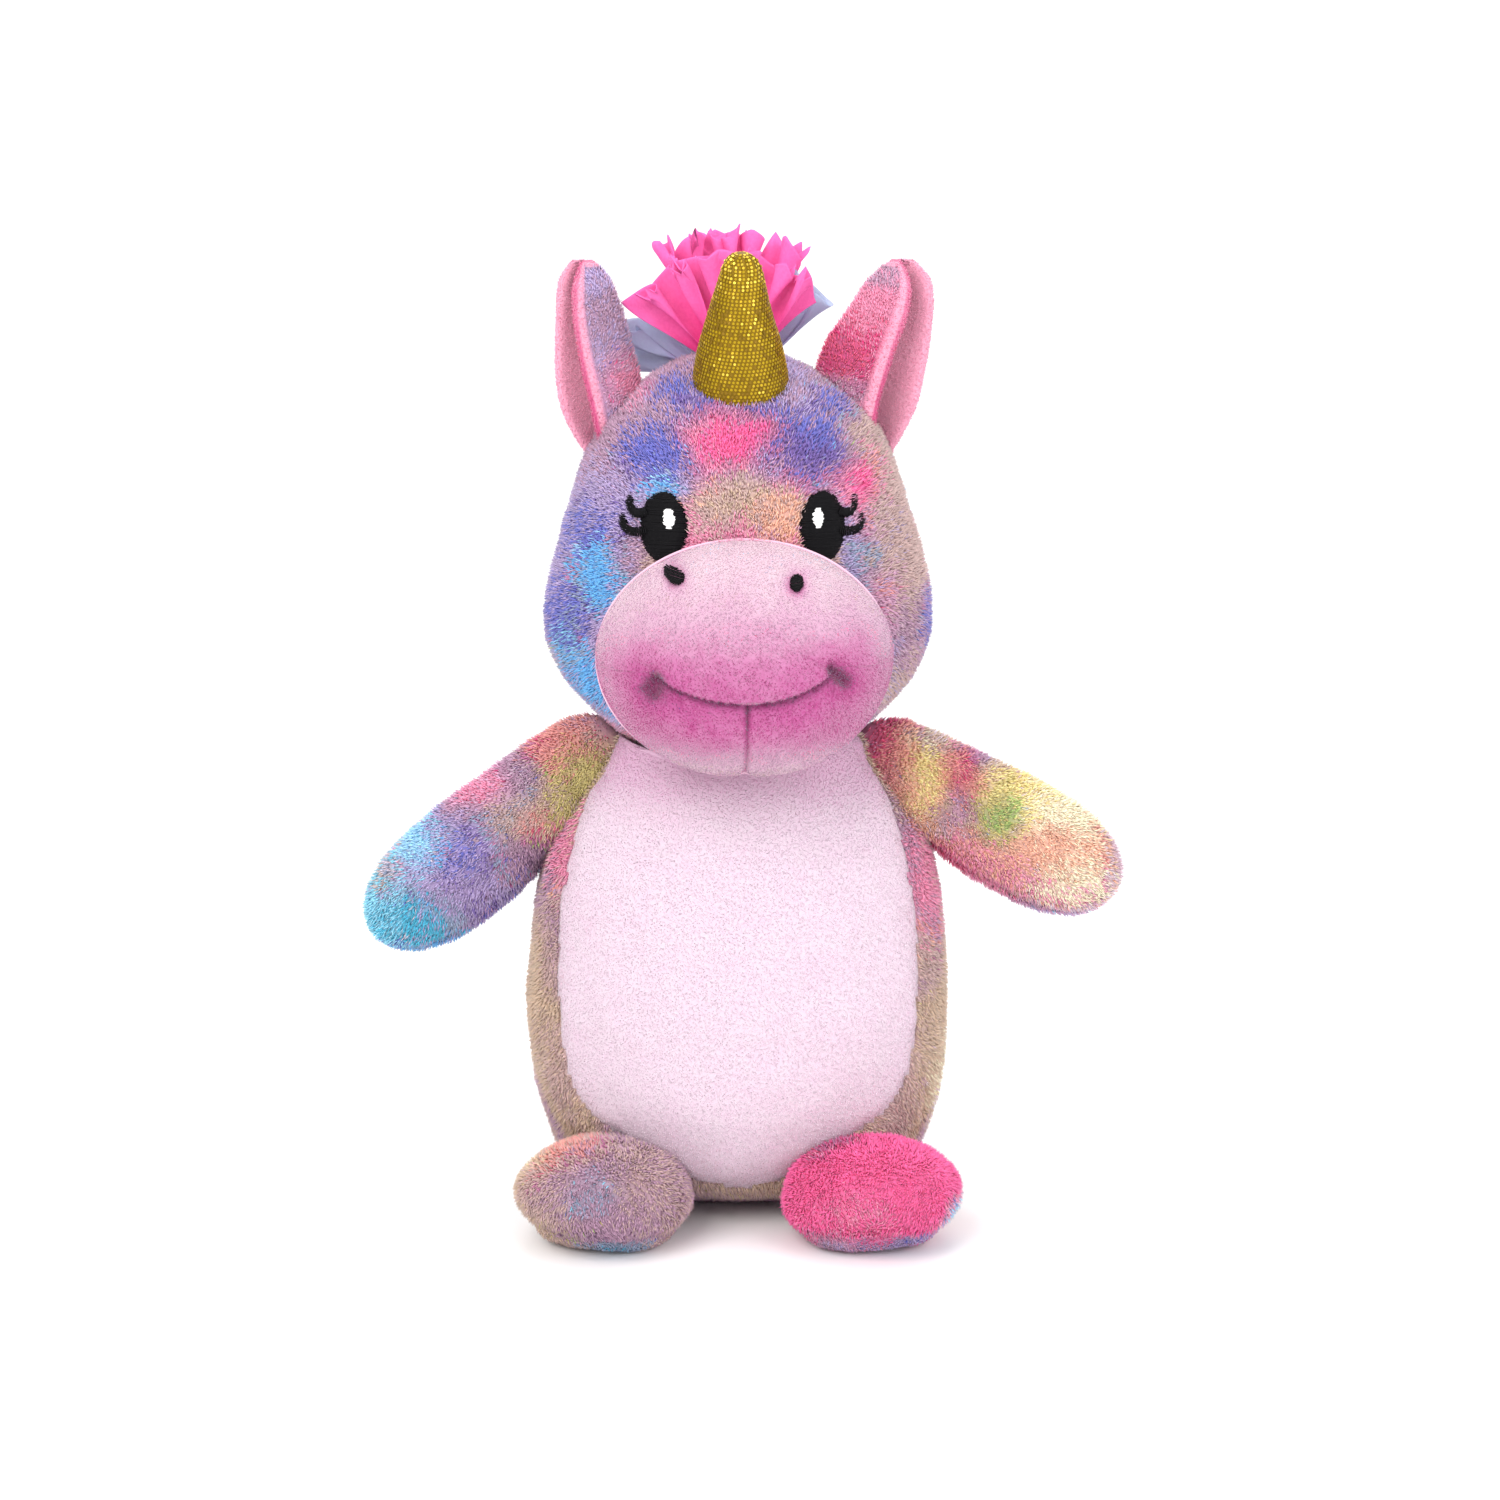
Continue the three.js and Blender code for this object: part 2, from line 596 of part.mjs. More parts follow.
/** Satin-stitched eyes with highlights and lashes, and the two nostril knots. */
function faceStitching() {
  const face = (grow) => egg(HEAD, grow);
  const muzzleFront = (grow) => muzzleSolid(grow).intersect(block([-FAR, -FAR, -FAR], [FAR, MUZZLE.y, FAR]));
  const high = GAP + EYE.thickness;
  const clear = muzzleSolid(GAP);
  const pieces = [];
  for (const [side, sign] of [["left", -1], ["right", 1]]) {
    const eye = embroidery(ellipse(sign * EYE.x, EYE.z, EYE.halfWidth, EYE.halfHeight, 20), face, GAP, high);
    const shine = ellipse(sign * EYE.x + HIGHLIGHT.shift, HIGHLIGHT.z, HIGHLIGHT.halfWidth,
      HIGHLIGHT.halfHeight, 10);
    const spot = embroidery(shine, face, high + HIGHLIGHT.lift, high + HIGHLIGHT.lift + HIGHLIGHT.thickness);
    const upper = lashOutline(sign, LASH.upper);
    const lower = lashOutline(sign, LASH.lower);
    pieces.push(
      meshOf(`eye_${side}`, eye.subtract(clear), cloth(BLACK, 0.4)),
      meshOf(`eye_${side}_highlight`, spot, cloth(WHITE, 0.4)),
      meshOf(`lash_${side}_upper`, embroidery(upper, face, GAP, high), cloth(BLACK, 0.4)),
      meshOf(`lash_${side}_lower`, embroidery(lower, face, GAP, high), cloth(BLACK, 0.4)),
    );
    const [x, z] = NOSTRILS[side];
    const knot = ellipse(x, z, NOSTRILS.halfWidth, NOSTRILS.halfHeight, 12);
    const stitched = embroidery(knot, muzzleFront, GAP, GAP + NOSTRILS.thickness);
    pieces.push(meshOf(`nostril_${side}`, stitched, cloth(BLACK, 0.5)));
  }
  return pieces;
}

/** The horn as a rounded cone standing on the forehead, grown by an allowance. */
function hornSolid(allowance) {
  const { length, baseRadius, tipRadius } = HORN;
  const tip = tipRadius + allowance;
  const profile = [
    [0, 0],
    [baseRadius + allowance, 0],
    [tip + 1.5, length - tipRadius * 1.4],
    [tip * 0.75, length - tipRadius * 0.4 + allowance],
    [0, length + allowance],
  ];
  const cone = new THREE.LatheGeometry(profile.map(([x, y]) => new THREE.Vector2(x, y)), 14);
  cone.rotateX(Math.PI / 2);
  return solidOf(cone).rotate(-HORN.tilt, 0, 0).translate(0, HORN.y, HORN.z);
}

/** Horn cover and its stuffing. */
function hornPieces() {
  const pivot = new THREE.Vector3(0, HORN.y, HORN.z);
  const sewn = (solid) => clearAtTilts(solid, egg(HEAD, GAP), pivot, HORN_TILTS);
  const cover = sewn(hornSolid(0).subtract(hornSolid(-LAME_THICKNESS)));
  const stuffing = sewn(hornSolid(-LAME_THICKNESS - GAP));
  return [
    meshOf("horn_cover", cover, metal(GOLD, 0.35, 0.8)),
    meshOf("horn_stuffing", stuffing, cloth(WHITE)),
  ];
}

/** A folded ear's middle surface: u runs round the fold and v from the head to the tip. */
function earPoint(sign, u, v) {
  const { length, width, foldRadius } = EAR;
  const spread = (width / 2) * (1 - 0.25 * (1 - v) ** 2) * Math.sqrt(Math.max(0.02, 1 - (v * 0.97) ** 3));
  const radius = foldRadius * (1.15 - 0.35 * v);
  const angle = ((u - 0.5) * 2 * spread) / radius;
  const hollow = radius * (1 - Math.cos(angle));
  return new THREE.Vector3(sign * radius * Math.sin(angle), -hollow, v * length);
}

/** One ear: the pile outer and the smooth lining inside its fold. */
function earPieces(side, color) {
  const sign = side === "left" ? -1 : 1;
  const pivot = new THREE.Vector3(sign * EAR.x, EAR.y, EAR.z);
  const build = (low, high) => {
    const sheet = thickSheet((u, v) => earPoint(sign, u, v), 7, 5, sign * low, sign * high)
      .rotate(0, 0, sign * EAR.toe)
      .rotate(0, sign * EAR.lean, 0)
      .translate(pivot.x, pivot.y, pivot.z);
    return clearAtTilts(sheet, egg(HEAD, GAP), pivot, EAR_TILTS);
  };
  return [
    meshOf(`ear_${side}_outer`, build(-FABRIC - GAP / 2, -GAP / 2), cloth(color)),
    meshOf(`ear_${side}_lining`, build(GAP / 2, FABRIC), cloth(LINING_PINK)),
  ];
}

/** A gathered fan of tulle: it springs from a point and ends in cut points. */
function tulleFan({ y, z, reach, spread, turn, ruffle, points }) {
  const pointAt = (u, v) => {
    const angle = THREE.MathUtils.degToRad(turn + (u - 0.5) * spread);
    const notch = 1 - 0.14 * Math.abs(((u * points) % 1) - 0.5) * 2 * v;
    const radius = 3 + (reach - 3) * v * notch;
    const fold = ruffle * v * Math.sin(u * points * 2);
    return new THREE.Vector3(radius * Math.sin(angle), y + fold, z + radius * Math.cos(angle));
  };
  return thickSheet(pointAt, points * 2, 2, -TULLE_HALF_THICKNESS, TULLE_HALF_THICKNESS);
}

/** The mane's three layers of tulle behind the horn. */
function manePieces() {
  const pivot = new THREE.Vector3(0, MANE.y, MANE.z);
  const { y, z } = MANE;
  const pink = { ruffle: 2, z };
  const layers = [
    ["mane_tulle_front", { ...pink, y, reach: 48, spread: 100, turn: -6, points: 7 }, TULLE_PINK],
    ["mane_tulle_middle", { ...pink, y: y + 7, reach: 54, spread: 92, turn: -4, points: 8 }, TULLE_PINK],
    [
      "mane_tulle_back",
      { y: y + 14, z: z - 3, reach: 46, spread: 125, turn: -8, ruffle: 2, points: 7 },
      TULLE_LILAC,
    ],
  ];
  return layers.map(([name, fan, color]) => {
    const sewn = clearAtTilts(tulleFan(fan), egg(HEAD, GAP), pivot, MANE_TILTS);
    return meshOf(name, sewn, cloth(color, 0.6));
  });
}

/** The tail's two layers of tulle, sewn into the back seam. */
function tailPieces() {
  const layers = [
    ["tail_tulle_pink", 0, TULLE_PINK],
    ["tail_tulle_lilac", 5, TULLE_LILAC],
  ];
  const pivot = new THREE.Vector3(0, TAIL.y, TAIL.z);
  return layers.map(([name, lift, color]) => {
    const fan = tulleFan({ y: 0, z: 0, reach: 44, spread: 100, turn: 180, ruffle: 1.5, points: 6 })
      .rotate(TAIL.droop, 0, 0)
      .translate(0, TAIL.y + lift, TAIL.z + lift);
    return meshOf(name, clearAtTilts(fan, egg(TORSO, GAP), pivot, TAIL_TILTS), cloth(color, 0.6));
  });
}

// ---------------------------------------------------------------- the toy

/** The ring of ladder stitches between head and torso. */
function neckSeam() {
  const middle = (HEAD_BALL + NECK_SOCKET) / 2;
  const ring = solidOf(new THREE.TorusGeometry(NECK_RING_RADIUS, 1, 5, 18));
  const drop = Math.sqrt(middle ** 2 - NECK_RING_RADIUS ** 2);
  return meshOf("neck_seam", ring.translate(0, 0, NECK_CENTRE.z - drop), cloth(MAUVE, 0.6));
}

const head = new THREE.Group();
head.rotation.z = HEAD_TURN;
head.add(
  ...headPieces(),
  ...faceStitching(),
  ...hornPieces(),
  ...earPieces("left", MAUVE),
  ...earPieces("right", HOT_PINK),
  ...manePieces(),
);

const unicorn = new THREE.Group();
unicorn.add(
  ...torsoPieces(),
  ...zipPieces(),
  labelPiece(),
  neckSeam(),
  head,
  ...armPieces("left", LEFT_ARM_DROP, SKY),
  ...armPieces("right", RIGHT_ARM_DROP, HOT_PINK),
  ...footPieces("left", MAUVE),
  ...footPieces("right", HOT_PINK),
  ...tailPieces(),
);

export default unicorn;
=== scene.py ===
"""The looks of a sitting plush unicorn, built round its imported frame.

The frame is in metres with +Z up, and the toy looks along -Y. Shapes are worked out in millimetres.
"""

import logging
import math
from dataclasses import dataclass, field
from enum import Enum
from typing import Callable, Sequence

import bpy
import numpy as np
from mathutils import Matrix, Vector


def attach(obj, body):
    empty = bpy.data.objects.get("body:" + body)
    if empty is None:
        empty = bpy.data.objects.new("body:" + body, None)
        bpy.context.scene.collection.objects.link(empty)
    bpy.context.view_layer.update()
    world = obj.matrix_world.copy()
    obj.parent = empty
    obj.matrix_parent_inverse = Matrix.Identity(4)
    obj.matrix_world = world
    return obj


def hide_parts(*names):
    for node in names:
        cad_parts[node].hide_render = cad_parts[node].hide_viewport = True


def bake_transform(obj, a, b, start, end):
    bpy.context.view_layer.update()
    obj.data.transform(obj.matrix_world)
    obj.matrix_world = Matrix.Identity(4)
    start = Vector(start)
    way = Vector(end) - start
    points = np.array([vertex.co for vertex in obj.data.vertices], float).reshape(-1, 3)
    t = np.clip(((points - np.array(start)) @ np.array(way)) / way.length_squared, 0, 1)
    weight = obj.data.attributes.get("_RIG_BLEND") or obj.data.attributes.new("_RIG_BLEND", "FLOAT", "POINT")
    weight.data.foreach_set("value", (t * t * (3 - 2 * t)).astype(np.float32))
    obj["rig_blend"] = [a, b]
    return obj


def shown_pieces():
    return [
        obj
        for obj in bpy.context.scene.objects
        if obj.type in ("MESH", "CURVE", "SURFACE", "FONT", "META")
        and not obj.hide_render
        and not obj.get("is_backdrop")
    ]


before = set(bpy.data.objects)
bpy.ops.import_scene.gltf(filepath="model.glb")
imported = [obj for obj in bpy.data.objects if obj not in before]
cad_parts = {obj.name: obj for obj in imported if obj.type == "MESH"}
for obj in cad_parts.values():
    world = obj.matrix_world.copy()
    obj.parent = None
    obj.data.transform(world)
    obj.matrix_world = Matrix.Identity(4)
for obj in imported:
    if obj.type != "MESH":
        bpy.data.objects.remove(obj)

Array = np.ndarray
Object = bpy.types.Object
Mesh = bpy.types.Mesh
Material = bpy.types.Material
Node = bpy.types.Node
NodeTree = bpy.types.NodeTree
Socket = bpy.types.NodeSocket
log = logging.getLogger("unicorn")

MM = 0.001
HEAD_CENTRE = np.array([0.0, 0.0, 236.0])  # the point the head turns and nods about
HEAD_CLEAR = 72.2  # nothing of the torso or arms comes nearer to that point
HEAD_TURN = math.radians(2.4)


# ---------------------------------------------------------------- numbers and noise


def ease(low: float, high: float, value: Array) -> Array:
    """0 below low and 1 above high, with a smooth step between; low may be the larger."""
    t = np.clip((value - low) / (high - low), 0, 1)
    return t * t * (3 - 2 * t)


def bump(value: Array, width: float, power: float = 2.0) -> Array:
    """A bell: 1 at zero, falling away over the given width."""
    return np.exp(-(np.abs(value / width) ** power))


def noise(points: Array, size: float, seed: int) -> Array:
    """Smooth random values from -1 to 1.

    Args:
        points: places as an (n, 3) array.
        size: distance between independent values.
        seed: picks the pattern.
    Returns:
        One value for each place.
    """
    scaled = points / size + 0.37 * seed
    cell = np.floor(scaled).astype(np.int64)
    part = scaled - cell
    part = part * part * (3 - 2 * part)
    total = np.zeros(len(points))
    for corner in range(8):
        step = np.array([(corner >> axis) & 1 for axis in range(3)])
        at = cell + step
        mixed = at[:, 0] * 73856093 ^ at[:, 1] * 19349663 ^ at[:, 2] * 83492791 ^ (seed * 2654435761)
        mixed = (mixed & 0xFFFFFFFF) * 1274126177 & 0xFFFFFFFF
        mixed = (mixed ^ (mixed >> 15)) * 2246822519 & 0xFFFFFFFF
        value = ((mixed ^ (mixed >> 13)) & 0xFFFF) / 32767.5 - 1
        total += value * np.prod(np.where(step, part, 1 - part), axis=1)
    return total


def unit(vectors: Array) -> Array:
    """Vectors made one long."""
    return vectors / np.maximum(np.linalg.norm(vectors, axis=-1, keepdims=True), 1e-9)


def turned(points: Array, axis: str, degrees: float) -> Array:
    """Points turned about an axis through the origin."""
    a = math.radians(degrees)
    c, s = math.cos(a), math.sin(a)
    matrix = {
        "x": [[1, 0, 0], [0, c, -s], [0, s, c]],
        "y": [[c, 0, s], [0, 1, 0], [-s, 0, c]],
        "z": [[c, -s, 0], [s, c, 0], [0, 0, 1]],
    }[axis]
    return points @ np.array(matrix).T


def head_placed(points: Array) -> Array:
    """Points of the head, turned as the sewn head is."""
    return turned(points, "z", math.degrees(HEAD_TURN))


def path_lengths(rows: Array) -> Array:
    """How far along a line of points each one lies."""
    return np.concatenate([[0], np.cumsum(np.linalg.norm(np.diff(rows, axis=0), axis=1))])


def curve_at(rows: Array, at: Array, wanted: Array) -> Array:
    """Values at the wanted distances on the smooth curve that passes rows at their own distances."""
    slope = np.gradient(rows, at, axis=0)
    i = np.clip(np.searchsorted(at, wanted, side="right") - 1, 0, len(at) - 2)
    h = (at[i + 1] - at[i])[:, None]
    f = (wanted - at[i])[:, None] / h
    made = (2 * f**3 - 3 * f**2 + 1) * rows[i] + (f**3 - 2 * f**2 + f) * h * slope[i]
    return made + (3 * f**2 - 2 * f**3) * rows[i + 1] + (f**3 - f**2) * h * slope[i + 1]


def through(stations: Array, step: float, closed_ends: bool = True) -> Array:
    """Evenly spaced values on a smooth curve through stations.

    Args:
        stations: rows of numbers; the first two columns measure distance.
        step: the wanted spacing.
        closed_ends: the first and last stations are poles, so the curve meets the axis squarely.
    Returns:
        The rows along the curve.
    """
    rows = np.array(stations, float)
    if closed_ends:
        before, after = rows[1].copy(), rows[-2].copy()
        before[1:] *= -1
        after[1:] *= -1
        rows = np.vstack([before, rows, after])
    at = path_lengths(rows[:, :2])
    low, high = (at[1], at[-2]) if closed_ends else (at[0], at[-1])
    t = np.linspace(low, high, max(4, round((high - low) / step)))
    return curve_at(rows, at, t)


# ---------------------------------------------------------------- colours


def linear(code: str) -> Array:
    """A colour code as linear red, green and blue."""
    parts = np.array([int(code[i : i + 2], 16) / 255 for i in (0, 2, 4)])
    return np.where(parts <= 0.04045, parts / 12.92, ((parts + 0.055) / 1.055) ** 2.4)


class Dye(Enum):
    """The colours that fibres are dyed in."""

    MAUVE = "C09AB4"
    PLUM = "8A6888"
    ROSE = "ED97B7"
    HOT_PINK = "FF6EAA"
    MAGENTA = "D9447F"
    CRIMSON = "E05F84"
    CORAL = "E8A19C"
    PEACH = "F5BFA6"
    TAN = "D6BCA6"
    CREAM = "FFF0D4"
    YELLOW = "FFE8A4"
    OLIVE = "D2C482"
    GREEN = "AEC878"
    SKY = "72BDF6"
    ICE = "ACDDFF"
    TEAL = "54BEDC"
    CYAN = "97D9F0"
    LAVENDER = "BBA8D2"
    PERIWINKLE = "7578CC"
    PURPLE = "836BB3"
    BEIGE = "D0B2AE"
    SLATE = "A0ADC8"
    BELLY = "E2D0DC"
    # painted shade: the belly's pink darkened for where it lies under the chin
    BELLY_SHADE = "D6A7C4"
    MUZZLE_PALE = "DABBC8"
    MUZZLE = "C87FA8"
    MUZZLE_DEEP = "AE3C7E"
    LINING = "F6ACC6"
    LINING_DEEP = "D25588"


MIXING_COST = 0.035  # how much a mixture of two dyes counts against it
DYES = list(Dye)
PALETTE = np.array([linear(d.value) for d in DYES])


@dataclass(frozen=True)
class Spot:
    """A patch of dye: its colour, its middle in millimetres, and its reach along X, Y and Z."""

    dye: Dye
    at: tuple[float, float, float]
    reach: tuple[float, float, float]
    strength: float = 1.0


@dataclass(frozen=True)
class TieDye:
    """A blotchy dyeing: a mottled ground with chosen spots, and more spots strewn behind."""

    ground: tuple[Dye, ...]
    spots: tuple[Spot, ...]
    strewn: int = 0
    seed: int = 1
    behind: float = 10.0  # strewn spots lie behind this Y
    strewn_dyes: tuple[Dye, ...] = (Dye.SKY, Dye.HOT_PINK, Dye.PERIWINKLE, Dye.ROSE, Dye.PURPLE, Dye.ICE,
                                    Dye.PEACH)

    def colours(self, points: Array) -> Array:
        """Linear colours at places in millimetres."""
        value = (noise(points, 34, self.seed) + 1) / 2 * (len(self.ground) - 1)
        value = np.clip(value * 1.5 - 0.25 * (len(self.ground) - 1), 0, len(self.ground) - 1)
        grounds = np.array([linear(d.value) for d in self.ground])
        low = np.clip(np.floor(value).astype(int), 0, max(len(self.ground) - 2, 0))
        high = np.minimum(low + 1, len(self.ground) - 1)
        share = ease(0.0, 1.0, value - low)[:, None]
        made = grounds[low] * (1 - share) + grounds[high] * share
        warp = np.stack([noise(points, 9, self.seed + k) * 3.2 + noise(points, 3.5, self.seed + 3 + k) * 1.3
                         for k in range(3)], axis=1)
        for spot in (*self.strewn_spots(points), *self.spots):
            away = np.linalg.norm((points + warp - np.array(spot.at)) / np.array(spot.reach), axis=1)
            weight = (ease(1.5, 0.2, away) * spot.strength)[:, None]
            made = made * (1 - weight) + linear(spot.dye.value) * weight
        return made

    def strewn_spots(self, points: Array) -> list[Spot]:
        """Spots at random places of the hidden side."""
        back = points[points[:, 1] > self.behind]
        if not self.strewn or not len(back):
            return []
        rng = np.random.default_rng(self.seed)
        made = []
        for k in range(self.strewn):
            place = back[rng.integers(len(back))]
            size = rng.uniform(9, 17)
            reach = (size * rng.uniform(0.8, 1.5), size, size * rng.uniform(0.6, 1.1))
            made.append(Spot(self.strewn_dyes[k % len(self.strewn_dyes)], tuple(place), reach, 0.9))
        return made


def pairs_of_dyes(colours: Array) -> tuple[Array, Array, Array]:
    """The two dyes whose mixture comes nearest to each colour, and the second one's share."""
    best = np.full(len(colours), np.inf)
    first = np.zeros(len(colours), int)
    second = np.zeros(len(colours), int)
    share = np.zeros(len(colours))
    for a in range(len(PALETTE)):
        for b in range(a + 1, len(PALETTE)):
            span = PALETTE[b] - PALETTE[a]
            length = float(span @ span)
            t = np.clip((colours - PALETTE[a]) @ span / length, 0, 1)
            miss = ((colours - PALETTE[a] - t[:, None] * span) ** 2).sum(axis=1)
            miss = miss + MIXING_COST * length * t * (1 - t)
            better = miss < best
            best[better] = miss[better]
            first[better], second[better], share[better] = a, b, t[better]
    return first, second, share


# ---------------------------------------------------------------- node trees


class Nodes:
    """Builds one node tree, shader or geometry."""

    def __init__(self, tree: NodeTree) -> None:
        self.tree = tree

    @classmethod
    def group(cls, name: str, kind: str, inputs: Sequence[tuple], outputs: Sequence[tuple]) -> "Nodes":
        """A new group with named sockets, each given as (name, socket type, default value)."""
        made = cls(bpy.data.node_groups.new(name, kind))
        for in_out, sockets in (("INPUT", inputs), ("OUTPUT", outputs)):
            for title, socket_type, *default in sockets:
                socket = made.tree.interface.new_socket(title, in_out=in_out, socket_type=socket_type)
                if default:
                    socket.default_value = default[0]
        return made

    def add(self, kind: str, values: dict | None = None, **settings) -> Node:
        """A node with its settings made and its inputs linked or filled."""
        node = self.tree.nodes.new(kind)
        for key, value in settings.items():
            setattr(node, key, value)
        for key, value in (values or {}).items():
            self.fill(self.socket(node, key), value)
        return node

    def fill(self, socket: Socket, value) -> None:
        """Links an input to another node's output, or gives it a value."""
        if isinstance(value, Socket):
            self.tree.links.new(value, socket)
        else:
            socket.default_value = value

    @staticmethod
    def socket(node: Node, key: str | int) -> Socket:
        """An input by index, identifier or name."""
        if isinstance(key, int):
            return node.inputs[key]
        for socket in node.inputs:
            if socket.identifier == key:
                return socket
        return next(s for s in node.inputs if s.name == key and s.enabled)

    @staticmethod
    def result(node: Node) -> Socket:
        """The output that the node's settings leave in use."""
        return next(s for s in node.outputs if s.enabled)

    def math(self, operation: str, a, b=0.0, c=0.0) -> Socket:
        """The result of one sum."""
        return self.add("ShaderNodeMath", {0: a, 1: b, 2: c}, operation=operation).outputs[0]


def fabric_grain() -> NodeTree:
    """Shared effect: fine and middling mottling of a colour, with the matching relief."""
    n = Nodes.group(
        "fabric_grain",
        "ShaderNodeTree",
        [
            ("Colour", "NodeSocketColor", (0.8, 0.8, 0.8, 1)),
            ("Deep", "NodeSocketColor", (0.3, 0.2, 0.3, 1)),
            ("Scale", "NodeSocketFloat", 900.0),
            ("Contrast", "NodeSocketFloat", 0.5),
            ("Relief", "NodeSocketFloat", 0.3),
        ],
        [("Colour", "NodeSocketColor"), ("Height", "NodeSocketFloat"), ("Normal", "NodeSocketVector")],
    )
    given = n.add("NodeGroupInput").outputs
    where = n.add("ShaderNodeTexCoord").outputs["Object"]
    fine = n.add("ShaderNodeTexNoise",
                 {"Vector": where, "Scale": given["Scale"], "Detail": 3.0, "Roughness": 0.6})
    broad_scale = n.math("MULTIPLY", given["Scale"], 0.13)
    broad = n.add("ShaderNodeTexNoise", {"Vector": where, "Scale": broad_scale, "Detail": 2.0})
    height = n.math("MULTIPLY_ADD", broad.outputs[0], 0.45, n.math("MULTIPLY", fine.outputs[0], 0.75))
    low = n.add("ShaderNodeMapRange", {"Value": height, "From Min": 0.42, "From Max": 0.72})
    share = n.math("MULTIPLY", n.math("SUBTRACT", 1.0, low.outputs[0]), given["Contrast"])
    mixed = n.add("ShaderNodeMix", {"Factor_Float": share, "A_Color": given["Colour"],
                                    "B_Color": given["Deep"]},
                  data_type="RGBA")
    relief = n.add("ShaderNodeBump", {"Height": height, "Strength": given["Relief"], "Distance": 0.0006})
    n.add("NodeGroupOutput", {"Colour": mixed.outputs[2], "Height": height, "Normal": relief.outputs[0]})
    return n.tree


def principled(name: str, values: dict) -> Material:
    """A new material with its surface's inputs filled."""
    made = bpy.data.materials.new(name)
    made.use_nodes = True
    surface = made.node_tree.nodes["Principled BSDF"]
    for key, value in values.items():
        surface.inputs[key].default_value = value
    return made


@dataclass(frozen=True)
class Finish:
    """A cloth or moulded surface: a mottled colour, read from the piece or constant."""

    name: str
    colour: str | None  # None reads the piece's own dye
    deep: str = "6B4560"
    scale: float = 900.0
    contrast: float = 0.5
    relief: float = 0.3
    roughness: float = 0.9
    metallic: float = 0.0
    sheen: float = 0.15
    gloss: float = 0.3
    alpha: float = 1.0

    def material(self) -> Material:
        """The finished material, made once."""
        name = f"{self.name}_look"
        found = bpy.data.materials.get(name)
        if found:
            return found
        made = principled(name, {
            "Roughness": self.roughness, "Metallic": self.metallic, "Sheen Weight": self.sheen,
            "Sheen Roughness": 0.5, "Specular IOR Level": self.gloss, "Alpha": self.alpha,
        })
        n = Nodes(made.node_tree)
        if self.colour is None:
            colour = n.add("ShaderNodeAttribute", {}, attribute_name="dye").outputs["Color"]
        else:
            colour = (*linear(self.colour), 1)
        grain = n.add("ShaderNodeGroup", {}, node_tree=bpy.data.node_groups["fabric_grain"])
        settings = {"Colour": colour, "Deep": (*linear(self.deep), 1), "Scale": self.scale,
                    "Contrast": self.contrast, "Relief": self.relief}
        for key, value in settings.items():
            n.fill(grain.inputs[key], value)
        surface = made.node_tree.nodes["Principled BSDF"]
        n.fill(surface.inputs["Base Color"], grain.outputs["Colour"])
        n.fill(surface.inputs["Normal"], grain.outputs["Normal"])
        return made


@dataclass(frozen=True)
class Thread:
    """A plain dyed strand or dot, too fine to carry a pattern of its own."""

    name: str
    colour: str
    tone: float = 1.0
    roughness: float = 0.75
    metallic: float = 0.0
    sheen: float = 0.0
    gloss: float = 0.3

    def material(self) -> Material:
        """The finished material, made once."""
        name = f"{self.name}_look"
        found = bpy.data.materials.get(name)
        if found:
            return found
        return principled(name, {
            "Base Color": (*np.clip(linear(self.colour) * self.tone, 0, 1), 1), "Roughness": self.roughness,
            "Metallic": self.metallic, "Specular IOR Level": self.gloss, "Sheen Weight": self.sheen,
        })


class Finishes:
    """Every named finish of the toy."""

    PLUSH = Finish("plush_backing", None, deep="7A5573", scale=1100, contrast=0.45, relief=0.5)
    VELOUR = Finish("velour", None, deep="C98DB8", scale=1500, contrast=0.22, relief=0.25, sheen=0.4)
    LINING = Finish("ear_velour", None, deep="C4527F", scale=1300, contrast=0.2, relief=0.25, sheen=0.4)
    LAME = Finish("gold_lame", "7E6202", deep="483502", scale=1600, contrast=0.5, relief=0.4, roughness=0.45,
                  metallic=0.5, sheen=0.0, gloss=0.3)
    TULLE_PINK = Finish("tulle_pink", None, deep="C01468", scale=900, contrast=0.22, relief=0.2,
                        roughness=0.8,
                        sheen=0.0, gloss=0.1)
    TULLE_LILAC = Finish("tulle_lilac", None, deep="A393CC", scale=900, contrast=0.22, relief=0.2,
                         roughness=0.8,
                         sheen=0.0, gloss=0.1, alpha=0.78)
    STUFFING = Finish("fibre_fill", "F4F2F0", deep="BDB9B6", scale=400, contrast=0.4, relief=0.8)
    POUCH = Finish("pouch_cloth", "E9E4DC", deep="B2AAA0", scale=1500, contrast=0.35, relief=0.4)
    LABEL = Finish("label_satin", "F6F5F3", deep="CFCBC8", scale=2200, contrast=0.2, relief=0.2,
                   roughness=0.45)
    TAPE = Finish("zip_tape", "A88BA8", deep="6C5470", scale=1800, contrast=0.4, relief=0.5, roughness=0.8)
    METAL = Finish("zip_metal", "A897A8", deep="6E6070", scale=500, contrast=0.2, relief=0.05, roughness=0.35,
                   metallic=0.9, sheen=0.0)
    BLACK = Thread("black_thread", "08070A", roughness=0.55, gloss=0.12)
    WHITE = Thread("white_thread", "F4F3F3", roughness=0.5)
    COIL = Thread("zip_coil", "9C7F9D", roughness=0.4)
    SEAM = Thread("seam_thread", "97789A", roughness=0.7)
    # A raised thread round the muzzle's seam, pale as a painted highlight where the rim curves away.
    EDGE_HIGHLIGHT = Thread("muzzle_edge", "DDB4C8", roughness=0.8)
    # The one gold foil in three copies: dimmer as painted shade, plain, and brighter as a painted glint.
    FOILS = (
        Thread("foil_dim", "7E6004", roughness=0.4, metallic=0.5, gloss=0.4),
        Thread("foil", "A68804", roughness=0.36, metallic=0.5, gloss=0.4),
        Thread("foil_bright", "DDC03C", roughness=0.32, metallic=0.5, gloss=0.5),
    )


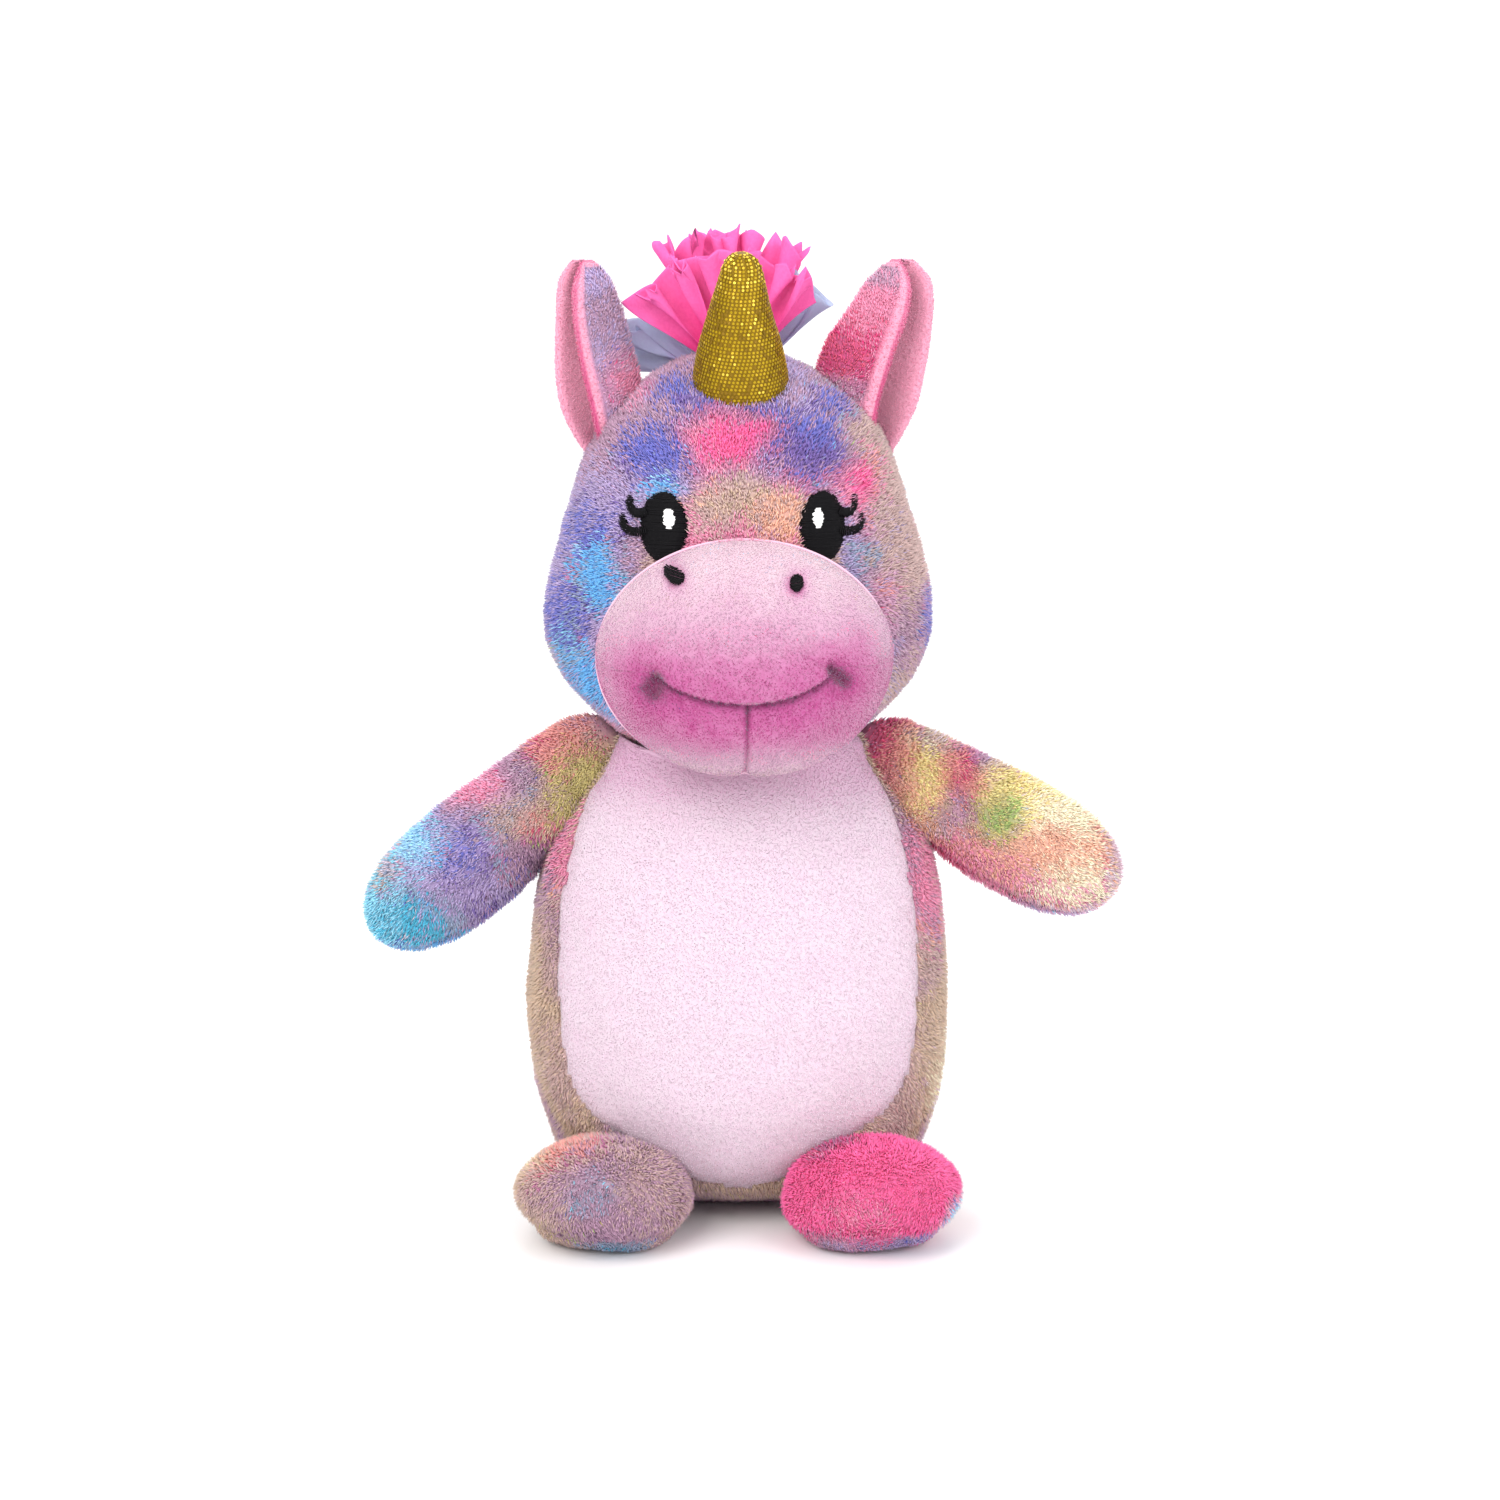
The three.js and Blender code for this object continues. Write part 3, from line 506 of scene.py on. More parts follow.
def fibre_material(shade: int) -> Material:
    """The material of one dye at one of its two tones."""
    dye = DYES[shade // 2]
    tone = (0.86, 1.12)[shade % 2]
    return Thread(f"fibre_{dye.name.lower()}_{shade % 2}", dye.value, tone=tone, roughness=0.85,
                  sheen=0.1).material()


# ---------------------------------------------------------------- meshes


def new_object(name: str, mesh: Mesh) -> Object:
    """A mesh shown in the scene under its own name."""
    made = bpy.data.objects.new(name, mesh)
    bpy.context.scene.collection.objects.link(made)
    return made


def make_mesh(name: str, points: Array, faces: Array | Sequence, materials: Sequence = (),
              smooth: bool = True,
              edges: Sequence = ()) -> Mesh:
    """A Blender mesh from points in millimetres and faces whose last corner may be -1."""
    if isinstance(faces, np.ndarray):
        listed = [f if f[3] >= 0 else f[:3] for f in faces.tolist()]
    else:
        listed = list(faces)
    mesh = bpy.data.meshes.new(name)
    mesh.from_pydata((points * MM).tolist(), edges, listed)
    for material in materials:
        mesh.materials.append(material)
    if smooth:
        mesh.shade_smooth()
    return mesh


def put(mesh: Mesh, name: str, kind: str, domain: str, values: Array) -> None:
    """Stores one attribute on a mesh."""
    attribute = mesh.attributes.new(name, kind, domain)
    key = {"FLOAT_COLOR": "color", "FLOAT_VECTOR": "vector"}.get(kind, "value")
    kept = np.asarray(values, np.int32 if kind == "INT" else np.float32)
    attribute.data.foreach_set(key, kept.ravel())


def put_shades(mesh: Mesh, domain: str, first: Array, second: Array, share: Array) -> None:
    """Stores what picks each element's shade: its first and second one, and the second one's share."""
    put(mesh, "shade", "INT", domain, first)
    put(mesh, "other_shade", "INT", domain, second)
    put(mesh, "share", "FLOAT", domain, share)


def stands_for(piece: Object, node: str) -> Object:
    """The piece, standing for one CAD node, which is hidden."""
    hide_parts(node)
    return piece


def joined_to(pieces: Sequence[Object], body: str) -> None:
    """Each piece moves with a body."""
    for piece in pieces:
        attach(piece, body)


@dataclass
class Surface:
    """A closed rounded surface: rows of points with the poles as first and last row."""

    grid: Array
    points: Array = field(init=False)
    faces: Array = field(init=False)
    normals: Array = field(init=False)

    def __post_init__(self) -> None:
        rows, turns = self.grid.shape[:2]
        self.points = self.flat(self.grid)
        index = 1 + (np.arange(1, rows - 1)[:, None] - 1) * turns + np.arange(turns)
        after = np.roll(index, -1, axis=1)
        quads = np.stack([index[:-1], after[:-1], after[1:], index[1:]], axis=-1).reshape(-1, 4)
        none = np.full(turns, -1)
        first = np.stack([np.zeros(turns, int), after[0], index[0], none], axis=-1)
        last = np.stack([np.full(turns, len(self.points) - 1), index[-1], after[-1], none], axis=-1)
        self.faces = np.vstack([quads, first, last])
        self.normals = self.vertex_normals()

    @staticmethod
    def flat(values: Array) -> Array:
        """Values on the grid as one row for each vertex."""
        ends = values[[0, -1]].mean(axis=1)
        return np.concatenate([ends[:1], values[1:-1].reshape(-1, *values.shape[2:]), ends[1:]])

    def vertex_normals(self) -> Array:
        """Outward normals at the vertices, from the faces round them."""
        corners = self.corners()
        p = self.points[corners]
        crossed = np.cross(p[:, 2] - p[:, 0], p[:, 3] - p[:, 1])
        made = np.zeros_like(self.points)
        for k in range(4):
            np.add.at(made, corners[:, k], crossed)
        middle = self.points.mean(axis=0)
        if ((self.points - middle) * made).sum() < 0:
            self.faces = np.where(self.faces[:, 3:] < 0, self.faces[:, [0, 2, 1, 3]],
                                  self.faces[:, [0, 3, 2, 1]])
            made = -made
        return unit(made)

    def moved(self, points: Array) -> None:
        """Takes new vertex places."""
        self.points = points
        self.normals = self.vertex_normals()

    def pushed(self, amount: Array) -> None:
        """Moves each vertex along its normal."""
        self.moved(self.points + self.normals * amount[:, None])

    def corners(self) -> Array:
        """Four corners for each face, with a triangle's last one twice."""
        return np.where(self.faces < 0, self.faces[:, [2]], self.faces)

    def on_faces(self, values: Array) -> Array:
        """The mean of the vertices' values on each face."""
        return values[self.corners()].mean(axis=1)


def egg(stations: Sequence, step: float, turns: int) -> Surface:
    """A rounded body through sections (height, half width, reach to the front, reach to the back)."""
    rows = through(np.array(stations, float), step)
    angle = np.linspace(0, 2 * np.pi, turns, endpoint=False)
    reach = np.where(np.sin(angle)[None] < 0, rows[:, 2:3], rows[:, 3:4])
    x = rows[:, 1:2] * np.cos(angle)
    y = reach * np.sin(angle)
    z = np.repeat(rows[:, :1], turns, axis=1)
    return Surface(np.stack([x, y, z], axis=-1))


def thickened(points: Array, normals: Array, faces: Array, depth: float) -> tuple[Array, Array, Array]:
    """A part of a surface as a closed panel.

    Returns:
        The points, the faces, and for each point the vertex it came from.
    """
    used = np.unique(faces[faces >= 0])
    number = np.full(len(points), -1)
    number[used] = np.arange(len(used))
    outer = np.where(faces < 0, -1, number[faces])
    inner = np.where(outer < 0, -1, outer + len(used))
    inner = np.where(inner[:, 3:] < 0, inner[:, [0, 2, 1, 3]], inner[:, [0, 3, 2, 1]])
    is_quad = outer[:, 3] >= 0
    edges = [outer[:, [0, 1]], outer[:, [1, 2]], outer[is_quad][:, [2, 3]], outer[is_quad][:, [3, 0]],
             outer[~is_quad][:, [2, 0]]]
    edges = np.vstack(edges)
    key = edges[:, 0] * len(used) + edges[:, 1]
    back = edges[:, 1] * len(used) + edges[:, 0]
    rim = edges[~np.isin(key, back)]
    walls = np.stack([rim[:, 1], rim[:, 0], rim[:, 0] + len(used), rim[:, 1] + len(used)], axis=1)
    made = np.vstack([points[used], points[used] - normals[used] * depth])
    return made, np.vstack([outer, inner, walls]), np.concatenate([used, used])


def evaluated(source: Object, tree: NodeTree, settings: dict) -> Mesh:
    """The plain mesh that a geometry tree makes of an object, which is then removed."""
    modifier = source.modifiers.new("made", "NODES")
    modifier.node_group = tree
    ids = {item.name: item.identifier for item in tree.interface.items_tree if item.in_out == "INPUT"}
    for key, value in settings.items():
        modifier[ids[key]] = value
    source.update_tag()
    bpy.context.view_layer.update()
    graph = bpy.context.evaluated_depsgraph_get()
    mesh = bpy.data.meshes.new_from_object(source.evaluated_get(graph), preserve_all_data_layers=True,
                                           depsgraph=graph)
    bpy.data.objects.remove(source)
    kept = (".", "sharp", "material")
    spare = [a.name for a in mesh.attributes if not a.is_required and not a.name.startswith(kept)]
    for name in spare:
        mesh.attributes.remove(mesh.attributes[name])
    return mesh


# ---------------------------------------------------------------- what repeats


class Element(Enum):
    """What is set at each point."""

    FIBRE = "fibre"
    DOT = "dot"
    LOOP = "loop"


class Scatter:
    """Sets fibres all over a surface, or dots and loops at its vertices, by geometry nodes.

    The source mesh carries the attributes lay (which way an element points), shade, other_shade and
    share (its two shades and the second one's share) and cover (how much of the full density).
    """

    def __init__(self, element: Element, materials: dict[int, Material]) -> None:
        self.element = element
        self.nodes = Nodes.group(
            f"scatter_{element.value}",
            "GeometryNodeTree",
            [
                ("Geometry", "NodeSocketGeometry"),
                ("Density", "NodeSocketFloat", 1.5e6),
                ("Length", "NodeSocketFloat", 0.0022),
                ("Thickness", "NodeSocketFloat", 0.0003),
                ("Jitter", "NodeSocketFloat", 0.3),
                ("Seed", "NodeSocketInt", 1),
            ],
            [("Geometry", "NodeSocketGeometry")],
        )
        self._build(materials)

    def _named(self, name: str, kind: str) -> Socket:
        """Reads one attribute of the source."""
        return self.nodes.result(self.nodes.add("GeometryNodeInputNamedAttribute", {"Name": name},
                                                data_type=kind))

    def _random(self, kind: str, shift: int, limits: dict, seed: Socket) -> Socket:
        """A random value for each point, from its own shifted seed."""
        own = self.nodes.math("ADD", seed, float(shift))
        node = self.nodes.add("FunctionNodeRandomValue", {**limits, "Seed": own}, data_type=kind)
        return self.nodes.result(node)

    def _shape(self) -> Socket:
        """One element, a unit across and a unit high."""
        n = self.nodes
        if self.element is Element.FIBRE:
            made = n.add("GeometryNodeMeshCone",
                         {"Vertices": 3, "Radius Top": 0.0, "Radius Bottom": 1.0, "Depth": 1.0})
        elif self.element is Element.DOT:
            made = n.add("GeometryNodeMeshCylinder", {"Vertices": 6, "Radius": 1.0, "Depth": 1.0})
        else:
            ring = n.add("GeometryNodeCurvePrimitiveCircle", {"Resolution": 8, "Radius": 1.0})
            wire = n.add("GeometryNodeCurvePrimitiveCircle", {"Resolution": 5, "Radius": 0.32})
            made = n.add("GeometryNodeCurveToMesh", {0: ring.outputs[0], 1: wire.outputs[0]})
        return n.add("GeometryNodeSetShadeSmooth",
                     {0: made.outputs[0], "Shade Smooth": self.element is not Element.DOT}
                     ).outputs[0]

    def _build(self, materials: dict[int, Material]) -> None:
        n = self.nodes
        given = n.add("NodeGroupInput").outputs
        if self.element is Element.FIBRE:
            density = n.math("MULTIPLY", given["Density"], self._named("cover", "FLOAT"))
            spread = n.add("GeometryNodeDistributePointsOnFaces",
                           {"Mesh": given["Geometry"], "Density": density, "Seed": given["Seed"]})
            points = spread.outputs["Points"]
        else:
            points = n.add("GeometryNodeMeshToPoints", {0: given["Geometry"]}).outputs[0]
        chance = self._random("FLOAT", 0, {"Min_001": 0.0, "Max_001": 1.0}, given["Seed"])
        tone = self._random("INT", 7, {"Min_002": 0, "Max_002": 1}, given["Seed"])
        other = n.math("LESS_THAN", chance, self._named("share", "FLOAT"))
        gap = n.math("SUBTRACT", self._named("other_shade", "INT"), self._named("shade", "INT"))
        shade = n.math("MULTIPLY_ADD", other, gap, self._named("shade", "INT"))
        if self.element is Element.FIBRE:
            shade = n.math("MULTIPLY_ADD", shade, 2.0, tone)
        stored = n.add("GeometryNodeStoreNamedAttribute",
                       {"Geometry": points, "Name": "final", "Value": shade},
                       data_type="INT", domain="POINT").outputs[0]
        jitter = given["Jitter"]
        least = n.math("MULTIPLY", jitter, -1.0)
        low = n.add("ShaderNodeCombineXYZ", {0: least, 1: least, 2: least}).outputs[0]
        high = n.add("ShaderNodeCombineXYZ", {0: jitter, 1: jitter, 2: jitter}).outputs[0]
        shift = self._random("FLOAT_VECTOR", 3, {"Min": low, "Max": high}, given["Seed"])
        way = n.add("ShaderNodeVectorMath", {0: self._named("lay", "FLOAT_VECTOR"), 1: shift}).outputs[0]
        turn = n.add("FunctionNodeAlignRotationToVector", {"Vector": way}, axis="Z").outputs[0]
        vary = self._random("FLOAT", 5, {"Min_001": 0.72, "Max_001": 1.15}, given["Seed"])
        tall = n.math("MULTIPLY", given["Length"], vary)
        size = n.add("ShaderNodeCombineXYZ",
                     {0: given["Thickness"], 1: given["Thickness"], 2: tall}).outputs[0]
        placed = n.add("GeometryNodeInstanceOnPoints",
                       {"Points": stored, "Instance": self._shape(), "Rotation": turn,
                        "Scale": size}).outputs[0]
        made = n.add("GeometryNodeRealizeInstances", {0: placed}).outputs[0]
        final = self._named("final", "INT")
        for number, material in materials.items():
            same = n.add("FunctionNodeCompare", {"A_INT": final, "B_INT": number}, data_type="INT",
                         operation="EQUAL").outputs[0]
            made = n.add("GeometryNodeSetMaterial",
                         {"Geometry": made, "Selection": same, "Material": material}
                         ).outputs[0]
        n.add("NodeGroupOutput", {"Geometry": made})

    def make(self, name: str, source: Mesh, **settings) -> Object:
        """The finished piece."""
        mesh = evaluated(new_object(name + "_source", source), self.nodes.tree, settings)
        return new_object(name, mesh)


@dataclass(frozen=True)
class PileSpec:
    """How thick a pile is: fibres for each square millimetre, and their size in millimetres."""

    density: float = 1.55
    length: float = 2.5
    thickness: float = 0.34
    jitter: float = 0.3
    lean: float = 0.75
    tuft: float = 0.55  # how strongly neighbouring fibres clump


PLUSH_PILE = PileSpec()
VELOUR_PILE = PileSpec(density=1.95, length=0.6, thickness=0.2, jitter=0.4, lean=0.6, tuft=0.12)
VELOUR_THICKNESS = 1.2


def combed(points: Array, normals: Array, towards: Array, spec: PileSpec, seed: int) -> Array:
    """Which way fibres point: outwards, leaning towards a direction, in tufts."""
    swirl = np.stack([noise(points, 16, seed + k) for k in range(3)], axis=1) * 0.9
    tuft = np.stack([noise(points, 3.2, seed + 5 + k) for k in range(3)], axis=1) * spec.tuft
    along = towards + swirl
    along -= normals * (along * normals).sum(axis=1, keepdims=True)
    return unit(normals + unit(along) * spec.lean + tuft)


class Cover:
    """A sewn cover: one surface parted into panels, each with its backing and its pile."""

    def __init__(self, surface: Surface, colours: Array, seed: int, thickness: float = 1.6) -> None:
        self.surface = surface
        self.colours = colours
        self.seed = seed
        self.thickness = thickness
        self.bare = np.ones(len(surface.points))  # 0 where no pile grows
        self.towards = np.tile([0.0, 0.0, -1.0], (len(surface.points), 1))

    def panel(self, name: str, faces: Array, finish: Finish = Finishes.PLUSH, slot: str = "tie_dye_plush",
              pile: PileSpec = PLUSH_PILE) -> list[Object]:
        """Makes one panel of the faces marked, and its pile, for the CAD node of that name."""
        s = self.surface
        points, made, source = thickened(s.points, s.normals, s.faces[faces], self.thickness)
        mesh = make_mesh(name + "_cloth", points, made, [finish.material()])
        # The backing takes the dye darkened to three quarters: painted shade down among the fibres.
        shade = np.concatenate([self.colours[source] * 0.75, np.ones((len(source), 1))], axis=1)
        put(mesh, "dye", "FLOAT_COLOR", "POINT", shade)
        cloth = stands_for(new_object(name + "_cloth", mesh), name)
        return [cloth, self.pile(name + "_pile", faces, pile, slot)]

    def pile(self, name: str, faces: Array, spec: PileSpec, slot: str) -> Object:
        """The fibres that stand on the faces marked."""
        s = self.surface
        chosen = s.faces[faces]
        used = np.unique(chosen[chosen >= 0])
        number = np.full(len(s.points), -1)
        number[used] = np.arange(len(used))
        mesh = make_mesh(name, s.points[used], np.where(chosen < 0, -1, number[chosen]))
        first, second, share = pairs_of_dyes(s.on_faces(self.colours)[faces])
        put_shades(mesh, "FACE", first, second, share)
        put(mesh, "cover", "FLOAT", "POINT", self.bare[used])
        lay = combed(s.points[used], s.normals[used], self.towards[used], spec, self.seed)
        put(mesh, "lay", "FLOAT_VECTOR", "POINT", lay)
        shades = sorted({int(k) for k in np.concatenate([first, second])})
        materials = {2 * k + tone: fibre_material(2 * k + tone) for k in shades for tone in (0, 1)}
        density = spec.density * 1e6 * 1.0
        made = Scatter(Element.FIBRE, materials).make(
            name, mesh, Density=density, Length=spec.length * MM, Thickness=spec.thickness * MM,
            Jitter=spec.jitter, Seed=self.seed)
        return made


class ThreadWork:
    """Sewn strands: open lines turned into round threads by geometry nodes."""

    def __init__(self) -> None:
        n = Nodes.group(
            "threads",
            "GeometryNodeTree",
            [
                ("Geometry", "NodeSocketGeometry"),
                ("Radius", "NodeSocketFloat", 0.0002),
                ("Sides", "NodeSocketInt", 5),
                ("Material", "NodeSocketMaterial"),
            ],
            [("Geometry", "NodeSocketGeometry")],
        )
        given = n.add("NodeGroupInput").outputs
        lines = n.add("GeometryNodeMeshToCurve", {0: given["Geometry"]}).outputs[0]
        round_section = n.add("GeometryNodeCurvePrimitiveCircle",
                              {"Resolution": given["Sides"], "Radius": given["Radius"]}).outputs[0]
        solid = n.add("GeometryNodeCurveToMesh", {0: lines, 1: round_section, "Fill Caps": True}).outputs[0]
        smooth = n.add("GeometryNodeSetShadeSmooth", {0: solid}).outputs[0]
        real = n.add("GeometryNodeRealizeInstances", {0: smooth}).outputs[0]
        done = n.add("GeometryNodeSetMaterial", {"Geometry": real, "Material": given["Material"]}).outputs[0]
        n.add("NodeGroupOutput", {"Geometry": done})
        self.tree = n.tree

    def make(self, name: str, lines: Sequence[Array], radius: float, finish: Thread | Finish,
             sides: int = 5) -> Object:
        """One piece of sewing from lines in millimetres."""
        points = np.vstack(lines)
        starts = np.cumsum([0] + [len(line) for line in lines])
        edges = [(a, a + 1) for s, e in zip(starts[:-1], starts[1:]) for a in range(s, e - 1)]
        source = new_object(name + "_lines", make_mesh(name, points, [], smooth=False, edges=edges))
        mesh = evaluated(source, self.tree,
                         {"Radius": radius * MM, "Sides": sides, "Material": finish.material()})
        return new_object(name, mesh)


def stuffed(node: str, shape: Surface, finish: Finish = Finishes.STUFFING) -> Object:
    """One lump of filling that stands for a CAD node."""
    mesh = make_mesh(node, shape.points, shape.faces, [finish.material()])
    piece = stands_for(new_object(node + "_fill", mesh), node)
    return piece


def ladder_stitches(threads: ThreadWork, node: str, ring: Array) -> None:
    """The stitches of one seam, on a ring of points that zigzags across it."""
    ring[-1] = ring[0]
    seam = stands_for(threads.make(f"{node}_stitches", [ring], 0.3, Finishes.SEAM), node)
    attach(seam, node)


# ---------------------------------------------------------------- torso


def clear_of_head(points: Array, distance: float = HEAD_CLEAR) -> Array:
    """Points pushed out of the room in which the head turns."""
    away = points - HEAD_CENTRE
    length = np.linalg.norm(away, axis=1, keepdims=True)
    return np.where(length < distance, HEAD_CENTRE + away / np.maximum(length, 1e-6) * distance, points)


@dataclass(frozen=True)
class TorsoSize:
    """Sections (height, half width, front, back) and the belly panel's half width at each height."""

    sections: tuple = (
        (0, 0, 0, 0), (0, 22, 1, 21), (0.3, 38, 3, 35), (4, 51, 14, 46), (11, 60, 31, 52), (20, 65.5, 44, 56),
        (40, 72.5, 56, 60), (75, 76.5, 60, 61.5), (105, 75, 57.5, 59.5), (130, 71.5, 51.5, 54.5),
        (150, 64.5, 44.5, 48.5), (168, 52.5, 37.5, 40.5), (181, 42, 31, 34), (185, 30, 22, 24),
        (186, 0, 0, 0),
    )
    belly: tuple = (
        (9, 0), (11, 8), (16, 14), (24, 23), (33, 37), (39.5, 49), (43, 55), (50, 60.5), (58, 63.5), (65, 65),
        (80, 66.5), (95, 66.8), (109, 66.4), (123, 64.8), (137, 62), (150, 59.5), (157, 57), (164, 51.5),
        (181, 43),
    )
    seat_seam: float = 7.0
    grid: float = 2.4
    turns: int = 190
    zip_axis: float = -34.0
    zip_radius: float = 90.5
    zip_height: float = 14.0
    zip_half_angle: float = 33.0
    label: tuple = (57.5, 72.0, 24.0, 35.0)  # root and tip along Y, low and high edge


class Torso:
    """Belly, back and seat panels with the stuffing, the pouch, the zip and the label."""

    DYES = TieDye(
        ground=(Dye.BEIGE, Dye.TAN, Dye.MAUVE, Dye.BEIGE),
        spots=(
            Spot(Dye.ROSE, (-64, -22, 138), (12, 24, 20), 0.9),
            Spot(Dye.MAUVE, (-72, -18, 116), (14, 25, 14), 0.5),
            Spot(Dye.TAN, (-76, -14, 84), (16, 34, 34), 0.8),
            Spot(Dye.TAN, (76, -10, 66), (16, 34, 40), 0.95),
            Spot(Dye.ROSE, (70, -16, 128), (14, 26, 24), 0.9),
            Spot(Dye.CREAM, (77, -4, 50), (12, 24, 20), 0.5),
        ),
        strewn=16, seed=11, behind=12,
    )

    def __init__(self, size: TorsoSize = TorsoSize()) -> None:
        self.size = size
        surface = egg(size.sections, size.grid, size.turns)
        p = surface.points
        front = p[:, 1] < 0
        self.belly_gap = np.where(front, self._inside_belly(p), -99.0)
        surface.moved(clear_of_head(p))
        lumps = noise(p, 26, 3) * 1.0 + noise(p, 11, 4) * 0.45
        lumps *= ease(4, 20, p[:, 2])
        seam = np.where(front, self.belly_gap, 99.0)
        centre_seam = np.where(p[:, 1] > 0, np.abs(p[:, 0]), 99.0)
        dip = -1.5 * bump(seam, 2.6) - 1.2 * bump(centre_seam, 2.4) - 1.0 * bump(p[:, 2] - size.seat_seam,
                                                                                 2.4)
        pucker = noise(p, 5.5, 8) * 0.6 * bump(seam, 8) + 0.5 * bump(seam + 9, 7)
        surface.pushed(lumps + dip + pucker)
        surface.moved(clear_of_head(self._zip_bed(surface.points)))
        self.surface = surface

    def _inside_belly(self, p: Array) -> Array:
        """Signed distance in from the belly panel's outline, roughly."""
        heights, widths = np.array(self.size.belly, float).T
        half = np.interp(p[:, 2], heights, widths)
        slope = np.gradient(widths, heights)
        steep = np.interp(p[:, 2], heights, slope)
        return np.clip((half - np.abs(p[:, 0])) / np.sqrt(1 + steep**2), -90, 90) + np.where(p[:, 2] < 15, -9,
                                                                                             0)

    def _zip_bed(self, p: Array) -> Array:
        """The lower back pressed flat against the zip."""
        z = self.size
        out = p[:, :2] - np.array([0, z.zip_axis])
        radius = np.linalg.norm(out, axis=1, keepdims=True)
        angle = np.degrees(np.abs(np.arctan2(out[:, 0], out[:, 1])))
        weight = ease(11, 5, np.abs(p[:, 2] - z.zip_height)) * ease(z.zip_half_angle + 5, z.zip_half_angle,
                                                                    angle)
        weight = np.where(p[:, 1] > 20, weight, 0)[:, None]
        made = p.copy()
        bed = out / np.maximum(radius, 1e-6) * (z.zip_radius - 2.2) + np.array([0, z.zip_axis])
        made[:, :2] = p[:, :2] * (1 - weight) + bed * weight
        self.zip_weight = weight[:, 0]
        return made

    def build(self, threads: ThreadWork) -> None:
        """Makes every piece of the torso."""
        s = self.surface
        middles = s.on_faces(s.points)
        inside = (s.on_faces(self.belly_gap) > 0) & (middles[:, 1] < 0)
        low = middles[:, 2] < self.size.seat_seam
        plush = Cover(s, self.DYES.colours(s.points), 21)
        plush.bare = 1 - ease(0.3, 0.8, self.zip_weight)
        plush.bare[s.points[:, 2] < 1.0] = 0.25
        made = []
        for side, mark in (("left", middles[:, 0] < 0), ("right", middles[:, 0] >= 0)):
            name = f"back_panel_{side}"
            made += plush.panel(name, ~inside & ~low & mark)
        made += plush.panel("seat_panel", low & ~inside, pile=PileSpec(density=0.9, length=1.4, lean=1.4))
        p = s.points
        # The belly's pink is mixed towards a darker pink: painted shade under the chin, and also darker
        # towards the bottom and along the panel's edge, with random mottling.
        shade = 0.8 * ease(146, 176, p[:, 2]) + 0.2 * ease(48, 14, p[:, 2]) + 0.08 * noise(p, 14, 5)
        shade += 0.15 * bump(self.belly_gap, 5)
        pink_and_painted_light = np.clip(shade, 0, 1)[:, None]
        pinks = linear(Dye.BELLY.value) * (1 - pink_and_painted_light) + linear(Dye.BELLY_SHADE.value) * pink_and_painted_light
        velour = Cover(s, pinks, 22, VELOUR_THICKNESS)
        made += velour.panel("belly_panel", inside, Finishes.VELOUR, "belly_velour", VELOUR_PILE)
        made += self._inside_pieces()
        made += self._zip(threads)
        joined_to(made, "torso")
        self._label()

    def _inside_pieces(self) -> list[Object]:
        """Stuffing and weighted pouch."""
        stuffing = egg(self.size.sections, 7, 44)
        shrunk = stuffing.points - stuffing.normals * 4.5
        shrunk[:, 2] = np.maximum(shrunk[:, 2], 24 + 0.04 * shrunk[:, 0])
        stuffing.moved(clear_of_head(shrunk, HEAD_CLEAR + 3))
        stuffing.pushed(noise(stuffing.points, 13, 2) * 0.8)
        pouch = egg(((5, 0, 0, 0), (5.5, 26, 14, 20), (10, 43, 28, 35), (13, 46, 31, 38), (16, 43, 28, 35),
                     (20, 26, 14, 20), (20.5, 0, 0, 0)), 3.5, 60)
        pouch.pushed(noise(pouch.points, 8, 3) * 0.5)
        return [stuffed("body_stuffing", stuffing),
                stuffed("weight_pouch", pouch, Finishes.POUCH)]

    def _arc(self, radius: float, height: float, low: float, high: float, steps: int) -> Array:
        """Points on the zip's arc, between two angles in degrees."""
        angle = np.radians(np.linspace(low, high, steps))
        return np.stack([radius * np.sin(angle), self.size.zip_axis + radius * np.cos(angle),
                         np.full(steps, height)], axis=1)

    def _strip(self, name: str, radii: tuple[float, float], heights: tuple[float, float],
               angles: tuple[float, float], steps: int, finish: Finish, corner: float = 0.0) -> Object:
        """A closed strip that follows the zip's arc, with its corners eased."""
        (inner, outer), (low, high) = radii, heights
        c = corner
        section = [(inner, low + c), (inner + c, low), (outer - c, low), (outer, low + c), (outer, high - c),
                   (outer - c, high), (inner + c, high), (inner, high - c)] if c else [
                       (inner, low), (outer, low), (outer, high), (inner, high)]
        rings = np.stack([self._arc(r, z, *angles, steps) for r, z in section], axis=1)
        k = len(section)
        index = np.arange(steps * k).reshape(steps, k)
        after = np.roll(index, -1, axis=1)
        quads = np.stack([index[:-1], index[1:], after[1:], after[:-1]], axis=-1).reshape(-1, 4).tolist()
        faces = quads + [index[0].tolist(), index[-1][::-1].tolist()]
        return new_object(name, make_mesh(name, rings.reshape(-1, 3), faces, [finish.material()],
                                          smooth=False))

